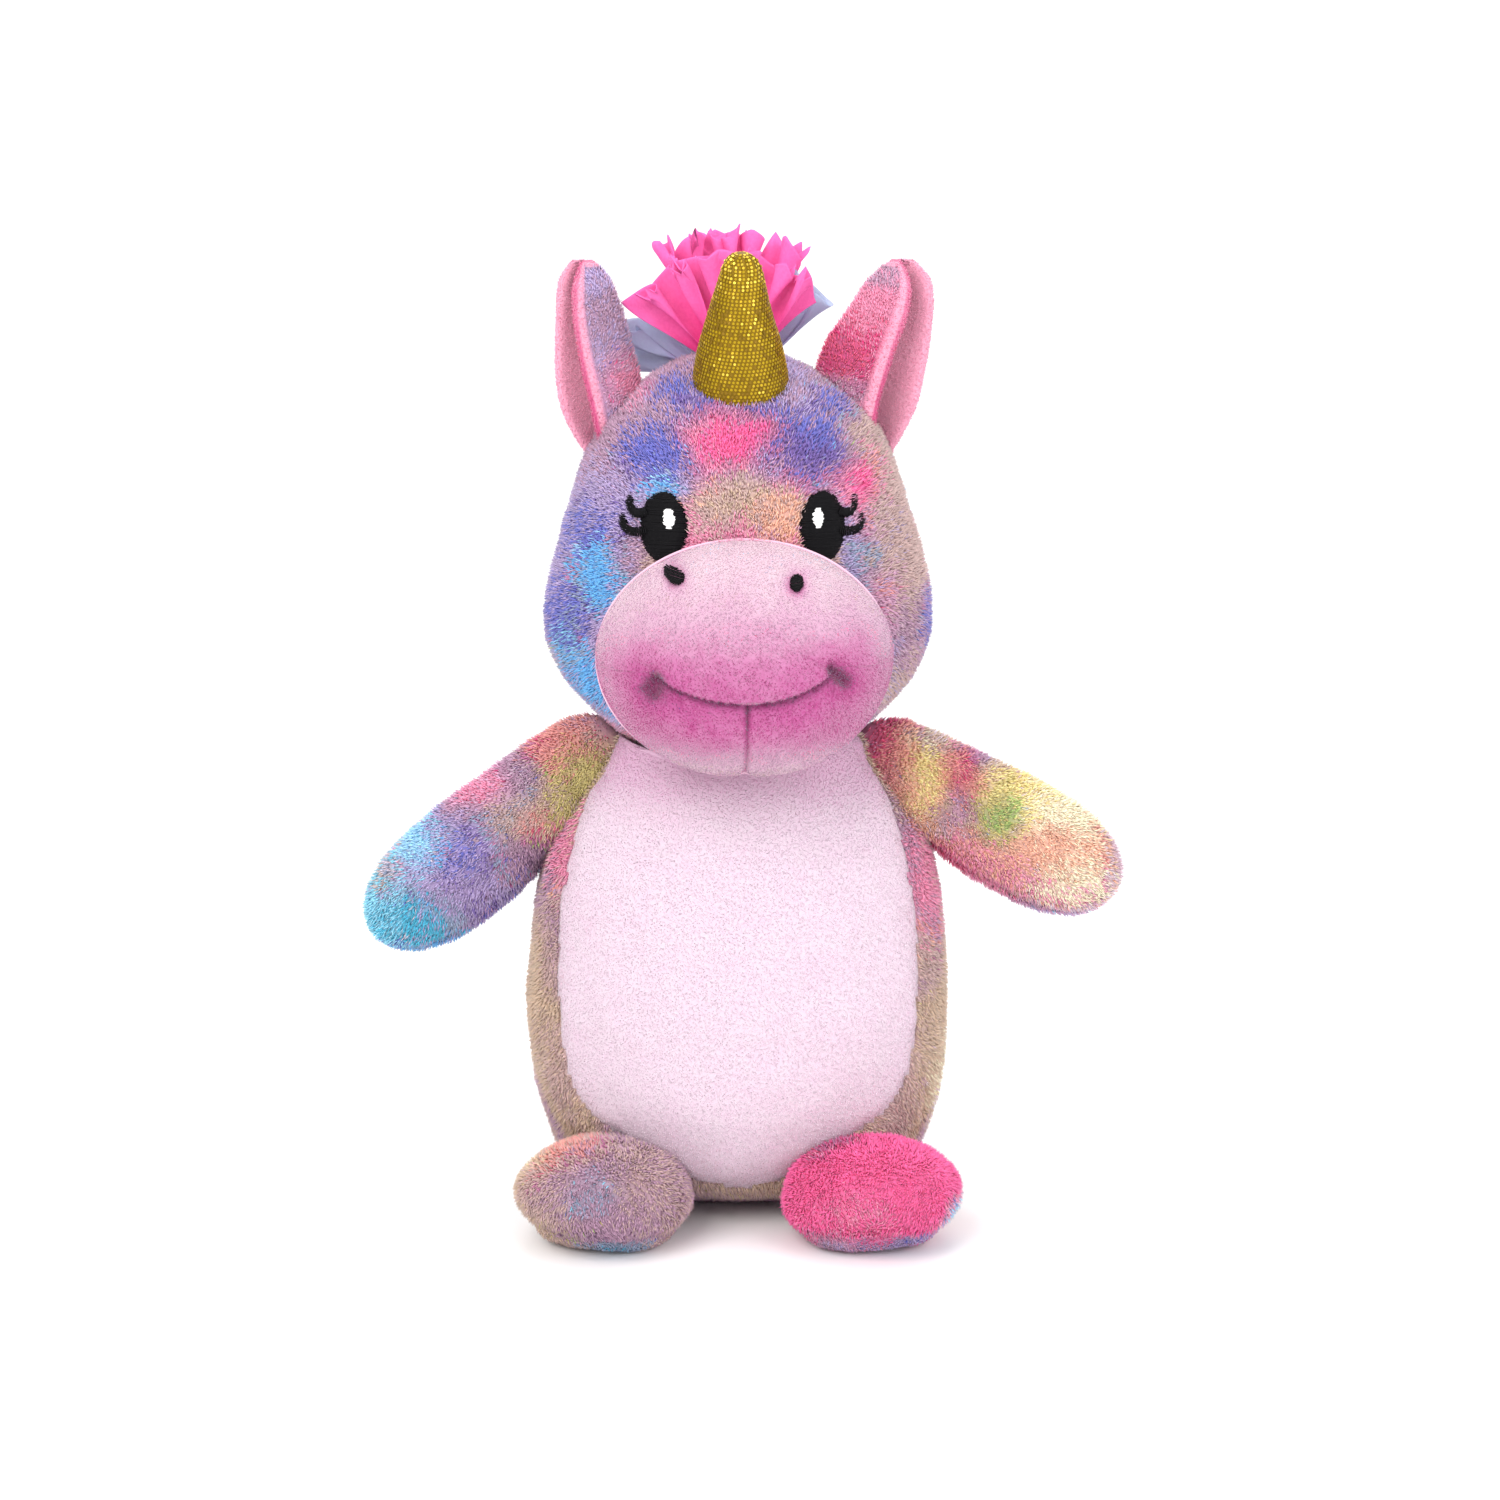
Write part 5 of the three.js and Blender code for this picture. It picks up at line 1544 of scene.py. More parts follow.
class Horn:
    """A stuffed cone of gold lame with pressed foil dots."""

    def __init__(self, size: HornSize = HornSize()) -> None:
        self.size = size

    def _placed(self, points: Array) -> Array:
        """Points of an upright horn, where it is sewn on the forehead."""
        return head_placed(turned(points, "x", self.size.tilt) + np.array(self.size.at))

    def _surface(self) -> Surface:
        """The upright cover, gathered at the tip and pulled in at the foot."""
        stations = np.array([(z, r, r, r) for z, r in self.size.outline], float)
        surface = egg(stations, 1.4, 72)
        p = surface.points
        angle = np.arctan2(p[:, 1], p[:, 0])
        gather = 0.5 * np.cos(9 * angle + 0.6 * noise(p, 5, 3))
        gather = gather * ease(36, 45, p[:, 2]) * ease(48.8, 47, p[:, 2])
        surface.pushed(gather + noise(p, 14, 8) * 0.5)
        return surface

    def build(self) -> None:
        """Makes the cover, its dots and its stuffing."""
        upright = self._surface()
        dots = self._dots(upright)
        placed = Surface(upright.grid)
        placed.moved(self._placed(upright.points))
        cover = new_object("horn_cover_lame", make_mesh("horn_cover", placed.points, placed.faces,
                                                        [Finishes.LAME.material()]))
        fill = Surface(upright.grid[::2, ::4] * np.array([0.9, 0.9, 0.97]))
        fill.moved(self._placed(fill.points))
        stands_for(cover, "horn_cover")
        joined_to([cover, dots, stuffed("horn_stuffing", fill)], "horn")

    def _dots(self, surface: Surface) -> Object:
        """The foil dots, in offset rows, some painted brighter as glints and some dimmer as painted shade, the
        brightest near the tip as a painted highlight.
        """
        rng = np.random.default_rng(9)
        heights = surface.points[:, 2]
        rows = []
        profile = through(np.array([(z, r) for z, r in self.size.outline], float), 0.2)
        profile = profile[profile[:, 0] > -7]
        length = path_lengths(profile)
        marks = np.arange(0.5, length[-1] - 0.8, self.size.dot_pitch * 0.866)
        for k, mark in enumerate(marks):
            z = np.interp(mark, length, profile[:, 0])
            r = np.interp(mark, length, profile[:, 1])
            count = max(3, round(2 * np.pi * r / self.size.dot_pitch))
            angle = (np.arange(count) + 0.5 * (k % 2)) * 2 * np.pi / count
            rows.append(np.stack([r * np.cos(angle), r * np.sin(angle), np.full(count, z)], axis=1))
        wanted = np.vstack(rows)
        nearest = []
        for w in wanted:
            level = np.flatnonzero(np.abs(heights - w[2]) < 2.2)
            nearest.append(level[np.argmin(((surface.points[level] - w) ** 2).sum(axis=1))])
        normals, bases = surface.normals[nearest], surface.points[nearest]
        onto = wanted + normals * ((bases - wanted) * normals).sum(axis=1, keepdims=True)
        tilt = rng.normal(0, 0.1, normals.shape)
        mesh = make_mesh("dots", self._placed(onto + normals * 0.12), [], smooth=False)
        put(mesh, "lay", "FLOAT_VECTOR", "POINT",
            head_placed(turned(unit(normals + tilt), "x", self.size.tilt)))
        # Painted glints: each dot takes a dim, plain or bright copy of the foil from noise and chance, and
        # dots near the tip are painted brighter as a highlight.
        painted_glint = noise(onto, 9, 5) * 0.35 + rng.uniform(-0.45, 0.45, len(onto))
        painted_glint = painted_glint + 0.9 * ease(38, 45, onto[:, 2])
        count = len(onto)
        put_shades(mesh, "POINT", np.digitize(painted_glint, (-0.25, 0.45)), np.full(count, 1), np.full(count, 0.15))
        materials = {k: foil.material() for k, foil in enumerate(Finishes.FOILS)}
        return Scatter(Element.DOT, materials).make("horn_foil_dots", mesh, Length=0.00022, Thickness=0.00052,
                                                    Jitter=0.0, Seed=2)


@dataclass(frozen=True)
class EarSize:
    """A folded ear, given at each height by how far out its back edge, front rim and inner fold lie."""

    side: str
    stations: tuple
    dyes: TieDye
    middle_y: float = 4.0
    depth: float = 1.0
    wall: float = 2.1  # half the thickness of the folded cloth


class Ear:
    """A folded ear: a plush outer and a velour lining rolled over its edge."""

    SIDE_POINTS = 30
    CAP_POINTS = 6

    def __init__(self, size: EarSize) -> None:
        self.size = size
        self.sign = -1 if size.side == "left" else 1

    def _middle_line(self, back: float, rim: float, fold: float, depth: float) -> Array:
        """The fold at one height, from its back edge round to its front rim, as (out, forward) points."""
        w = self.size.wall
        points = np.array([
            (back - w, -3.0 * depth), ((back + fold) / 2 + 2.5, -8.0 * depth), (fold + w + 1.2, -4.0 * depth),
            (fold + w, 2.5 * depth), (0.55 * fold + 0.45 * rim, 8.5 * depth), (rim - w, 9.5 * depth),
        ])
        at = path_lengths(points)
        return curve_at(points, at, np.linspace(0, at[-1], self.SIDE_POINTS))

    def _ring(self, line: Array, wall: float) -> Array:
        """The closed section round a middle line: outside, rim, inside, back edge."""
        along = unit(np.gradient(line, axis=0))
        out = np.stack([-along[:, 1], along[:, 0]], axis=1)
        bend = np.linspace(0, np.pi, self.CAP_POINTS + 2)[1:-1, None]
        rim = line[-1] + wall * (out[-1] * np.cos(bend) + along[-1] * np.sin(bend))
        edge = line[0] - wall * (out[0] * np.cos(bend) + along[0] * np.sin(bend))
        return np.concatenate([line + wall * out, rim, (line - wall * out)[::-1], edge])

    def _surface(self) -> Surface:
        """The whole ear as one closed surface."""
        heights = np.array([row[0] for row in self.size.stations], float)
        z = np.concatenate([np.arange(heights[0], heights[-1] - 6, 1.6), heights[-1] - 6 * np.linspace(
            1, 0, 12) ** 1.6])
        columns = [np.interp(z, heights, [row[k] for row in self.size.stations]) for k in (1, 2, 3)]
        columns = [np.convolve(np.pad(c, 3, mode="edge"), np.ones(7) / 7, "valid") for c in columns]
        rise = (z - heights[0]) / (heights[-1] - heights[0])
        rings = []
        for height, back, rim, fold, v in zip(z, *columns, rise):
            close = float(ease(1.0, 0.86, np.array(v)))
            depth = self.size.depth * (0.3 + 0.7 * close) * (1 - 0.25 * v)
            ring = self._ring(self._middle_line(back, rim, fold, depth),
                              self.size.wall * (0.35 + 0.65 * close**0.5))
            rings.append(np.column_stack([self.sign * ring[:, 0], self.size.middle_y - ring[:, 1],
                                          np.full(len(ring), height)]))
        grid = np.array(rings)
        ends = [np.repeat(grid[k].mean(axis=0)[None], grid.shape[1], axis=0) for k in (0, -1)]
        ends[1][:, 2] += 0.9
        return Surface(np.concatenate([ends[0][None], grid, ends[1][None]]))

    def _round_the_fold(self, surface: Surface) -> tuple[Array, Array]:
        """For each vertex, how far round the section it lies and whether it is on the plush side."""
        n, c = self.SIDE_POINTS, self.CAP_POINTS
        share = np.concatenate([np.linspace(0, 1, n), np.full(c, 1.0), np.linspace(1, 0, n), np.zeros(c)])
        outside = np.concatenate([np.ones(n), np.zeros(c + n + c)])
        rows = surface.grid.shape[0]
        return surface.flat(np.tile(share, (rows, 1))), surface.flat(np.tile(outside, (rows, 1)))

    def build(self) -> None:
        """Makes the outer and the lining, with their piles."""
        body = f"ear_{self.size.side}"
        s = self._surface()
        share, outside = self._round_the_fold(s)
        height = s.points[:, 2] - self.size.stations[0][0]
        is_plush = (outside > 0.5) & (share < 0.95) & (share > 0.05)
        is_plush &= s.points[:, 2] < self.size.stations[-1][0] - 1.5
        s.pushed(noise(s.points, 14, 4) * 0.5)
        deep = ease(0.12, 0.6, share) * (outside < 0.5)
        deep = np.clip(deep * (0.75 + 0.25 * ease(60, 20, height)) + 0.08 * noise(s.points, 9, 3), 0,
                       1)[:, None]
        pinks = linear(Dye.LINING.value) * (1 - deep) + linear(Dye.LINING_DEEP.value) * deep
        colours = np.where(is_plush[:, None], self.size.dyes.colours(s.points), pinks)
        s.moved(head_placed(s.points))
        cover = Cover(s, colours, 61)
        cover.towards = np.tile([0.0, 0.2, 1.0], (len(s.points), 1))
        plush = s.on_faces(is_plush) > 0.5
        made = []
        for node, mark, pile, finish, slot in (
            (body + "_outer", plush, PileSpec(density=1.5, length=2.0, lean=0.9), Finishes.PLUSH,
             "tie_dye_plush"),
            (body + "_lining", ~plush, PileSpec(density=2.2, length=0.8, thickness=0.2, lean=0.6, tuft=0.15),
             Finishes.LINING, "ear_velour"),
        ):
            made += cover.panel(node, mark, finish, slot, pile)
        joined_to(made, body)


EARS = (
    EarSize("left", ((276, 52, 48, 41), (284, 57.5, 50, 37), (290, 61.5, 51.5, 35.5), (299, 65, 53.5, 35.5),
                     (309, 66.5, 56, 36), (319, 66.5, 58, 38.5), (329, 66, 59.5, 41.5), (338, 65.5, 60, 44),
                     (345, 64.5, 59, 47), (350.5, 62, 58, 50)), TieDye(
        ground=(Dye.MAUVE, Dye.LAVENDER), seed=71,
        spots=(Spot(Dye.MAUVE, (-48, 0, 335), (14, 20, 20), 0.8),
               Spot(Dye.ROSE, (-40, 0, 306), (13, 24, 13), 0.95),
               Spot(Dye.LAVENDER, (-52, 0, 345), (8, 20, 8), 0.7)))),
    EarSize("right", ((276, 54, 46, 37), (284, 59, 48, 32), (290, 62.5, 49, 29), (299, 66, 51, 28),
                      (309, 68, 53.5, 28.5), (319, 70, 56.5, 31), (329, 71.5, 60, 37), (337, 72, 62.5, 43.5),
                      (345, 70.5, 63, 49), (350.5, 66, 60.5, 54)), TieDye(
        ground=(Dye.ROSE, Dye.HOT_PINK), seed=72,
        spots=(Spot(Dye.MAGENTA, (40, 0, 318), (18, 24, 14), 0.9),
               Spot(Dye.MAUVE, (36, 0, 303), (12, 24, 8), 0.8),
               Spot(Dye.MAUVE, (54, 0, 346), (9, 20, 7), 0.8),
               Spot(Dye.ROSE, (48, 0, 332), (9, 20, 9), 0.8))), depth=1.15),
)


@dataclass(frozen=True)
class Tuft:
    """Gathered sheets of tulle on one body.

    Each sheet is given by its name, CAD node, fan, place and whether it is pink.
    """

    body: str
    rests_on: str
    pink: tuple[str, str]  # the colours at the root and at the tip
    lilac: tuple[str, str]
    sheets: tuple
    placed: Callable[[Array, tuple], Array]

    def build(self) -> None:
        """Makes the sheets."""
        made = []
        for name, node, fan, at, is_pink in self.sheets:
            place = lambda p, at=at: self.placed(p, at)
            finish, root_tip, slot = (
                (Finishes.TULLE_PINK, self.pink, "tulle_pink") if is_pink
                else (Finishes.TULLE_LILAC, self.lilac, "tulle_lilac"))
            piece = tulle(name, fan, place, finish, *root_tip, self.rests_on)
            made.append(stands_for(piece, node))
        joined_to(made, self.body)


MANE = Tuft(
    "mane", "head_back_panel_left_cloth", ("D8307C", "F06CB2"), ("A493CC", "BCCAE6"),
    (
        ("mane_tulle_front_a", "mane_tulle_front", Fan(53, 48, -26, 3, 4.0, 8, 3, -3), (-1, 9, 307), True),
        ("mane_tulle_front_b", "mane_tulle_front", Fan(51, 44, 22, 3, 4.0, 8, 7, -2), (0, 11, 308), True),
        ("mane_tulle_middle_a", "mane_tulle_middle", Fan(63, 40, -14, 3, 4.5, 9, 11, 1), (-1, 15, 307), True),
        ("mane_tulle_middle_b", "mane_tulle_middle", Fan(60, 46, 8, 3, 4.5, 9, 15, 3), (0, 18, 307), True),
        ("mane_tulle_back_a", "mane_tulle_back", Fan(46, 40, -54, 2, 4.0, 4, 19, 3), (-3, 17, 305), False),
        ("mane_tulle_back_b", "mane_tulle_back", Fan(50, 80, 14, 4, 4.0, 8, 23, 4), (2, 23, 306), False),
    ),
    lambda points, at: head_placed(points + np.array(at, float)),
)
TAIL = Tuft(
    "tail", "back_panel_left_cloth", ("DB2A82", "F064B4"), ("9C8AC6", "B4C4E2"),
    (
        ("tail_tulle_pink_sheet", "tail_tulle_pink", Fan(44, 92, 180, 4, 4.0, 6, 27, 2), (0, 62, 78), True),
        ("tail_tulle_lilac_sheet", "tail_tulle_lilac", Fan(42, 100, 180, 4, 4.0, 6, 31, 4), (0, 67, 83),
         False),
    ),
    lambda points, at: turned(points, "x", 26) + np.array(at, float),
)


# ---------------------------------------------------------------- limbs


@dataclass(frozen=True)
class ArmSize:
    """An arm: its drop below level in degrees and its sections (distance, half height, half depth)."""

    side: str
    drop: float
    dyes: TieDye
    shoulder: tuple = (61.5, 2.0, 163.0)
    tip_y: float = -8.0
    stretch: float = 1.0  # how long it is beside the pattern
    roll: float = 26.0
    sections: tuple = (
        (-24, 0, 0), (-22, 8, 8), (-12, 14.5, 13.5), (4, 16.8, 15.6), (18, 18.2, 16.6), (34, 19.4, 17.4),
        (50, 20.0, 17.9), (64, 19.8, 17.6), (77, 17.8, 16), (86, 13.4, 12.2), (91.5, 7.6, 7), (94, 0, 0),
    )


class Arm:
    """A stuffed arm sewn of a front and a back panel."""

    def __init__(self, size: ArmSize) -> None:
        self.size = size
        self.sign = -1 if size.side == "left" else 1

    def _placed(self, points: Array) -> Array:
        """Points of an arm that lies along +X, where it hangs from the shoulder."""
        size = self.size
        forward = math.degrees(math.asin((size.tip_y - size.shoulder[1]) / 94.5))
        yaw = 180 - forward if self.sign < 0 else forward
        points = points * np.array([size.stretch, 1, 1])
        made = turned(turned(points, "z", yaw), "y", self.sign * size.drop)
        return made + np.array([self.sign * size.shoulder[0], size.shoulder[1], size.shoulder[2]])

    def build(self, threads: ThreadWork) -> None:
        """Makes the panels, their piles, the stuffing and the armhole stitches."""
        size, name = self.size, f"arm_{self.size.side}"
        stations = np.array([(x, h, h, h) for x, h, d in size.sections], float)
        ratio = np.array([(x, h, d) for x, h, d in size.sections], float)
        body = egg(stations, 2.2, 56)
        p = body.points[:, [2, 1, 0]]
        depth = np.interp(p[:, 0], ratio[:, 0],
                          np.where(ratio[:, 1] > 0, ratio[:, 2] / np.maximum(ratio[:, 1], 1), 0.9))
        p[:, 1] *= depth
        s = Surface(body.grid)
        s.moved(p)
        facing = self._front_side(p)
        wrinkle = noise(p * np.array([1.7, 1, 1]), 9, 15) * 0.5 * ease(60, 10, p[:, 0])
        s.pushed(noise(p, 20, 16) * 0.9 + wrinkle - 1.6 * bump(facing, 2.4) + 0.5 * bump(facing - 8, 6)
                 + noise(p, 5, 17) * 0.5 * bump(facing, 7))
        local = s.points.copy()
        s.moved(clear_of_head(self._placed(s.points)))
        cover = Cover(s, size.dyes.colours(s.points), 81)
        out = unit(self._placed(np.array([[90.0, 0, 0]])) - self._placed(np.array([[0.0, 0, 0]])))
        cover.towards = np.repeat(out * 1.4, len(s.points), axis=0)
        cover.bare = ease(-21, -14, local[:, 0])
        front = s.on_faces(facing) > 0
        made = []
        for part, mark in (("front", front), ("back", ~front)):
            node = f"{name}_{part}_panel"
            made += cover.panel(node, mark)
        fill = Surface(s.grid[::3, ::3])
        inner = fill.points[:, [2, 1, 0]] * np.array([0.93, 0.74, 0.84])
        fill.moved(clear_of_head(self._placed(inner), HEAD_CLEAR + 2))
        made.append(stuffed(f"{name}_stuffing", fill))
        start, end = self._placed(np.array([[2.0, 0, 0], [30.0, 0, 0]])) * MM
        for piece in made:
            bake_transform(piece, f"{name}_seam", name, start=tuple(start), end=tuple(end))
        self._armhole(threads, name)

    def _front_side(self, p: Array) -> Array:
        """Signed distance from the seam plane: above 0 on the front panel."""
        roll = math.radians(self.size.roll)
        front = -p[:, 1] if self.sign > 0 else p[:, 1]
        return front * math.cos(roll) + p[:, 2] * math.sin(roll)

    def _armhole(self, threads: ThreadWork, name: str) -> None:
        """Ladder stitches round the armhole."""
        normal = unit(np.array([self.sign * 0.9, 0, 0.43]))
        side = np.array([0.0, 1.0, 0.0])
        up = np.cross(normal, side)
        centre = np.array([self.sign * self.size.shoulder[0], *self.size.shoulder[1:]]) - normal * 1.3
        angle = np.linspace(0, 2 * np.pi, 97)
        reach = 15 + 0.5 * np.where(np.arange(97) % 2 == 0, 1, -1)
        ring = centre + reach[:, None] * (np.cos(angle)[:, None] * side + np.sin(angle)[:, None] * up)
        ladder_stitches(threads, f"{name}_seam", ring)


ARMS = (
    ArmSize("left", 39.5, TieDye(
        ground=(Dye.MAUVE, Dye.LAVENDER), seed=91,
        spots=(
            Spot(Dye.SLATE, (-88, -14, 160), (22, 30, 16), 0.7),
            Spot(Dye.LAVENDER, (-104, -16, 132), (26, 34, 20), 0.8),
            Spot(Dye.CORAL, (-68, -10, 174), (24, 34, 17)),
            Spot(Dye.CRIMSON, (-76, -12, 170), (10, 34, 7), 0.4),
            Spot(Dye.OLIVE, (-54, -14, 162), (18, 34, 15)),
            Spot(Dye.OLIVE, (-62, -22, 150), (15, 20, 12), 0.95),
            Spot(Dye.TAN, (-84, -16, 150), (16, 34, 14), 0.7),
            Spot(Dye.SLATE, (-83, -14, 163), (10, 34, 11), 0.7),
            Spot(Dye.ROSE, (-97, -6, 160), (17, 34, 9), 0.9),
            Spot(Dye.CORAL, (-73, -20, 146), (8, 34, 10), 0.6),
            Spot(Dye.PERIWINKLE, (-100, -18, 138), (13, 34, 13), 0.55),
            Spot(Dye.ICE, (-121, -14, 140), (16, 34, 11)),
            Spot(Dye.BEIGE, (-133, -8, 129), (9, 34, 11), 0.7), Spot(Dye.CYAN, (-134, -8, 114), (18, 34, 17)),
            Spot(Dye.TEAL, (-117, -20, 110), (14, 18, 12), 0.85),
            Spot(Dye.SKY, (-112, 4, 100), (30, 18, 11), 0.95),
            Spot(Dye.PLUM, (-76, 2, 134), (15, 24, 11), 0.85),
            Spot(Dye.PERIWINKLE, (-94, 2, 119), (14, 18, 11), 0.95),
        ), strewn=4, behind=8)),
    ArmSize("right", 29.2, TieDye(
        ground=(Dye.ROSE, Dye.MAUVE), seed=92,
        spots=(
            Spot(Dye.PEACH, (90, -14, 150), (26, 34, 18), 0.7),
            Spot(Dye.PEACH, (112, -14, 142), (26, 34, 18), 0.7),
            Spot(Dye.CRIMSON, (58, -10, 178), (15, 34, 22), 0.95),
            Spot(Dye.CORAL, (56, -20, 162), (10, 34, 12), 0.7),
            Spot(Dye.YELLOW, (71, -14, 168), (12, 34, 26)),
            Spot(Dye.CRIMSON, (85, -16, 164), (13, 34, 17), 0.75),
            Spot(Dye.LAVENDER, (84, -2, 180), (22, 34, 8), 0.7),
            Spot(Dye.LAVENDER, (80, -20, 150), (9, 30, 9), 0.5),
            Spot(Dye.SKY, (107, 0, 171), (17, 24, 7), 0.9),
            Spot(Dye.YELLOW, (101, -14, 162), (14, 34, 9), 0.7),
            Spot(Dye.CYAN, (114, -8, 165), (9, 18, 5), 0.5), Spot(Dye.YELLOW, (110, -14, 157), (18, 34, 13)),
            Spot(Dye.GREEN, (96, -22, 150), (10, 34, 12), 0.9),
            Spot(Dye.CREAM, (124, -12, 149), (20, 34, 18)),
            Spot(Dye.PEACH, (112, -20, 138), (15, 34, 9), 0.8),
            Spot(Dye.PEACH, (127, -16, 134), (12, 34, 9), 0.6),
            Spot(Dye.CREAM, (126, -18, 124), (20, 34, 11), 0.85),
            Spot(Dye.LAVENDER, (146, -2, 130), (9, 34, 18), 0.7),
            Spot(Dye.MAGENTA, (88, 2, 138), (22, 16, 11)),
            Spot(Dye.LAVENDER, (118, 4, 114), (24, 18, 10), 0.95),
        ), strewn=4, behind=8), stretch=0.945),
)


@dataclass(frozen=True)
class FootSize:
    """A foot: its middle, half width and length, and its outline (height, share of the full size)."""

    side: str
    dyes: TieDye
    at: tuple = (48.5, -54.0)
    half: tuple = (29.5, 35.0)
    toe_out: float = 22.0
    toe_rise: float = 10.0  # how far the sole curls up towards the toe
    outline: tuple = (
        (0, 0), (0, 0.4), (0.6, 0.62), (3.4, 0.82), (8, 0.94), (14, 1.0), (20, 0.985), (27, 0.88), (33, 0.64),
        (36, 0.32), (36.8, 0),
    )


class Foot:
    """A stuffed foot with a top panel and a sole panel."""

    def __init__(self, size: FootSize) -> None:
        self.size = size
        self.sign = -1 if size.side == "left" else 1

    def _placed(self, points: Array) -> Array:
        """Points of a foot that points along -Y, where it is sewn on."""
        made = turned(points, "z", self.sign * self.size.toe_out)
        return made + np.array([self.sign * self.size.at[0], self.size.at[1], 0])

    def _surface(self, step: float, turns: int) -> Surface:
        """The foot's outside before it is placed."""
        scale = self.size.half[0]
        stations = np.array([(z, r * scale, r * scale, r * scale) for z, r in self.size.outline], float)
        body = egg(stations, step, turns)
        p = body.points.copy()
        p[:, 1] *= self.size.half[1] / self.size.half[0]
        outward = np.clip(self.sign * p[:, 0] / scale, -1, 1)
        p[:, 2] += 5.0 * ease(0.1, 1.0, outward) * ease(36, 4, p[:, 2]) * ease(0, 6, p[:, 2])
        forward = np.clip(-p[:, 1] / self.size.half[1], 0, 1)
        p[:, 2] += self.size.toe_rise * forward**1.8 * (1 - 0.45 * p[:, 2] / 37)
        body.moved(p)
        return body

    def build(self) -> None:
        """Makes both panels, their piles and the stuffing."""
        size, name = self.size, f"foot_{self.size.side}"
        s = self._surface(2.1, 104)
        p = s.points
        outward = np.clip(self.sign * p[:, 0] / size.half[0], 0, 1)
        forward = np.clip(-p[:, 1] / size.half[1], 0, 1)
        seam = p[:, 2] - (7.0 + 5.0 * outward**2 + 3.5 * forward**2)
        lumps = (noise(p, 18, 23) * 1.0 + noise(p, 8, 24) * 0.4) * ease(2, 9, p[:, 2])
        dip = 1.5 * bump(seam, 2.2)
        s.pushed(lumps - dip + 0.6 * bump(seam - 6, 5) + noise(p, 5, 25) * 0.5 * bump(seam, 6))
        s.points[:, 2] = np.maximum(s.points[:, 2], 0.2)
        s.moved(self._placed(s.points))
        cover = Cover(s, size.dyes.colours(s.points), 101)
        cover.towards = np.tile([0.0, -0.9, -0.6], (len(s.points), 1))
        cover.bare[s.points[:, 2] < 1.0] = 0.2
        top = s.on_faces(seam) > 0
        made = []
        for part, mark in (("top", top), ("sole", ~top)):
            node = f"{name}_{part}_panel"
            pile = PLUSH_PILE if part == "top" else PileSpec(density=1.4, length=1.4, lean=1.0)
            made += cover.panel(node, mark, pile=pile)
        fill = self._surface(6, 30)
        middle = np.array([0, 0, 18])
        fill.moved(self._placed((fill.points - middle) * 0.86 + middle))
        joined_to([*made, stuffed(f"{name}_stuffing", fill)], name)


FEET = (
    FootSize("left", TieDye(
        ground=(Dye.MAUVE, Dye.BEIGE), seed=111,
        spots=(
            Spot(Dye.TAN, (-74, -50, 26), (20, 34, 24)), Spot(Dye.CREAM, (-72, -40, 33), (11, 24, 9), 0.4),
            Spot(Dye.CORAL, (-60, -56, 33), (13, 34, 15), 0.75),
            Spot(Dye.MAUVE, (-46, -76, 20), (20, 34, 16), 0.7),
            Spot(Dye.SLATE, (-53, -76, 26), (13, 20, 9), 0.7),
            Spot(Dye.BEIGE, (-36, -66, 26), (14, 34, 12), 0.5),
            Spot(Dye.TAN, (-74, -74, 9), (16, 24, 9), 0.8), Spot(Dye.PLUM, (-58, -86, 10), (14, 18, 4), 0.45),
            Spot(Dye.TEAL, (-44, -88, 3), (16, 24, 6), 0.8),
        ))),
    FootSize("right", TieDye(
        ground=(Dye.HOT_PINK, Dye.HOT_PINK), seed=112,
        spots=(
            Spot(Dye.PLUM, (34, -48, 34), (12, 16, 6), 0.6), Spot(Dye.ROSE, (46, -82, 19), (14, 18, 8), 0.5),
            Spot(Dye.LAVENDER, (60, -84, 4), (28, 34, 6)),
            Spot(Dye.PERIWINKLE, (66, -88, 5), (10, 18, 4.5), 0.7),
            Spot(Dye.ICE, (82, -60, 12), (10, 28, 9)), Spot(Dye.SLATE, (32, -74, 5), (9, 24, 8), 0.7),
        ))),
)


def neck_stitches(threads: ThreadWork) -> None:
    """Ladder stitches between head and torso."""
    angle = np.linspace(0, 2 * np.pi, 181)
    reach = 36 + 0.7 * np.where(np.arange(181) % 2 == 0, 1, -1)
    distance = HEAD_CLEAR - 0.9
    height = HEAD_CENTRE[2] - np.sqrt(distance**2 - reach**2)
    ring = np.stack([reach * np.cos(angle), reach * np.sin(angle), height], axis=1)
    ladder_stitches(threads, "neck_seam", ring)


# ---------------------------------------------------------------- studio


@dataclass(frozen=True)
class Lamp:
    """A soft panel of light: its place, size in metres, power in watts and warmth."""

    at: tuple
    size: float
    power: float
    colour: tuple = (1.0, 1.0, 1.0)


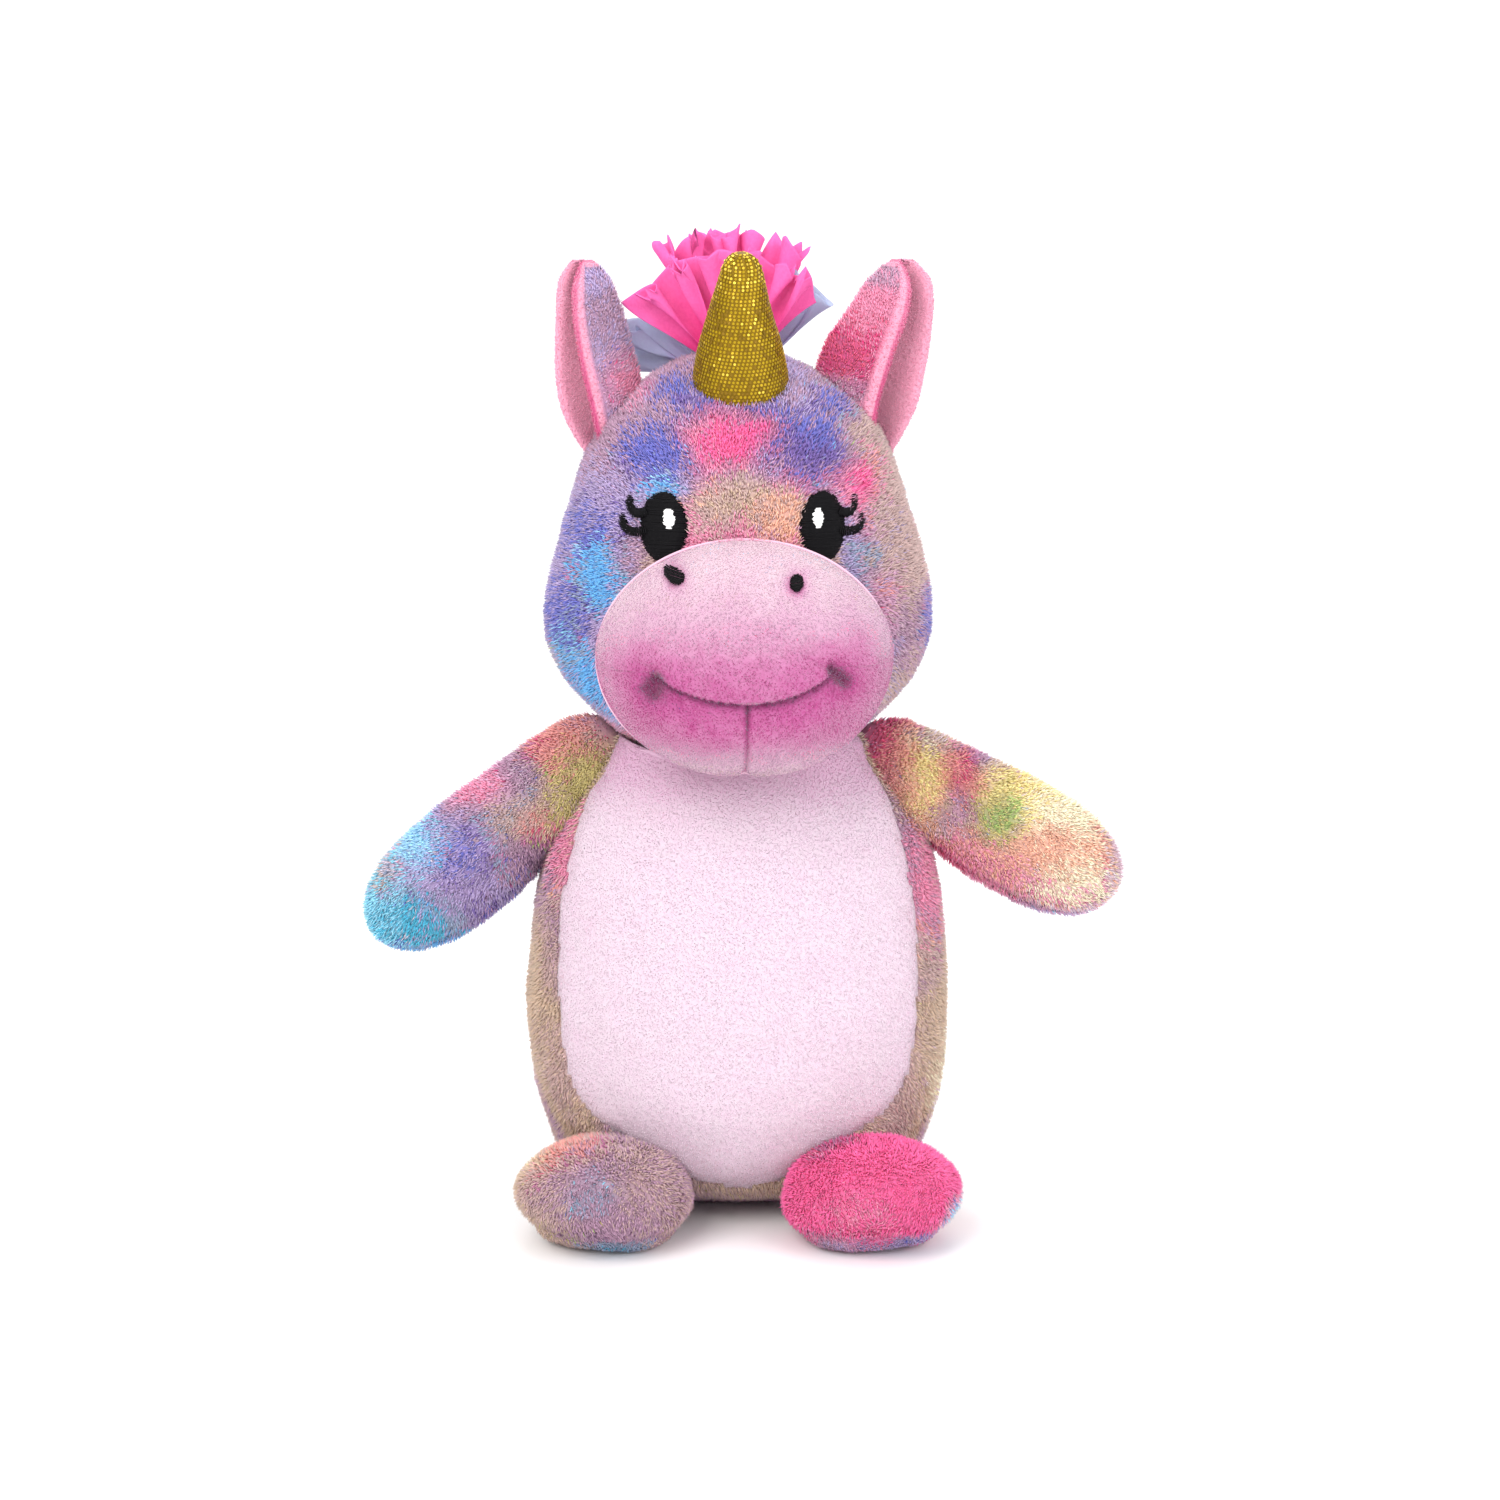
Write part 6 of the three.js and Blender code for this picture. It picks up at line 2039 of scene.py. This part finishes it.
class Studio:
    """A white sweep, soft lamps and the camera."""

    TARGET = Vector((0.0044, 0.0, 0.1717))
    DISTANCE = 1.387
    ELEVATION = math.radians(10)
    LAMPS = (
        Lamp((-1.1, -1.9, 1.7), 1.6, 50.0, (1.0, 0.985, 0.97)),
        Lamp((1.6, -1.5, 1.0), 1.6, 24.0, (0.97, 0.98, 1.0)),
        Lamp((0.1, 0.5, 2.2), 1.6, 22.0),
    )

    def build(self) -> None:
        """Makes the stage, the light and the camera."""
        self._sweep()
        world = bpy.data.worlds.new("studio")
        world.use_nodes = True
        world.node_tree.nodes["Background"].inputs["Color"].default_value = (1, 1, 1, 1)
        world.node_tree.nodes["Background"].inputs["Strength"].default_value = 0.95
        bpy.context.scene.world = world
        for k, lamp in enumerate(self.LAMPS):
            data = bpy.data.lights.new(f"lamp_{k}", "AREA")
            data.size = lamp.size
            data.energy = lamp.power
            data.color = lamp.colour
            light = bpy.data.objects.new(f"lamp_{k}", data)
            light.location = lamp.at
            light.rotation_mode = "QUATERNION"
            light.rotation_quaternion = (self.TARGET - Vector(lamp.at)).to_track_quat("-Z", "Y")
            bpy.context.scene.collection.objects.link(light)
        data = bpy.data.cameras.new("camera")
        data.lens = 90
        data.sensor_width = 36
        data.clip_start, data.clip_end = 0.05, 30
        camera = bpy.data.objects.new("camera", data)
        back = Vector((0, -math.cos(self.ELEVATION), math.sin(self.ELEVATION)))
        camera.location = self.TARGET + back * self.DISTANCE
        camera.rotation_mode = "QUATERNION"
        camera.rotation_quaternion = (-back).to_track_quat("-Z", "Y")
        bpy.context.scene.collection.objects.link(camera)
        bpy.context.scene.camera = camera
        bpy.context.scene.view_settings.view_transform = "Standard"

    def _sweep(self) -> None:
        """The pale floor that rises into a backdrop."""
        finish = Finish("studio_paper", "F6F5F5", deep="EEECEC", scale=60, contrast=0.2, relief=0.02,
                        sheen=0.0)
        bend = np.radians(np.linspace(0, 90, 24))
        radius, back, half = 900.0, 1800.0, 6000.0
        line = [(-6000.0, 0.0)] + [(back + radius * math.sin(a), radius * (1 - math.cos(a))) for a in bend]
        line.append((back + radius, 5000.0))
        points = np.array([(x, y, z - 0.05) for y, z in line for x in (-half, half)])
        faces = [(2 * k, 2 * k + 1, 2 * k + 3, 2 * k + 2) for k in range(len(line) - 1)]
        new_object("backdrop", make_mesh("backdrop", points, faces, [finish.material()]))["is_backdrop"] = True


def main() -> None:
    """Builds the toy on its frame."""
    logging.basicConfig(level=logging.INFO, format="%(message)s")
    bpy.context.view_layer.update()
    fabric_grain()
    threads = ThreadWork()
    Torso().build(threads)
    neck_stitches(threads)
    Head().build(threads)
    Horn().build()
    for ear in EARS:
        Ear(ear).build()
    MANE.build()
    TAIL.build()
    for arm in ARMS:
        Arm(arm).build(threads)
    for foot in FEET:
        Foot(foot).build()
    Studio().build()
    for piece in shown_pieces():
        piece.data.calc_loop_triangles()


if __name__ == "__main__":
    main()
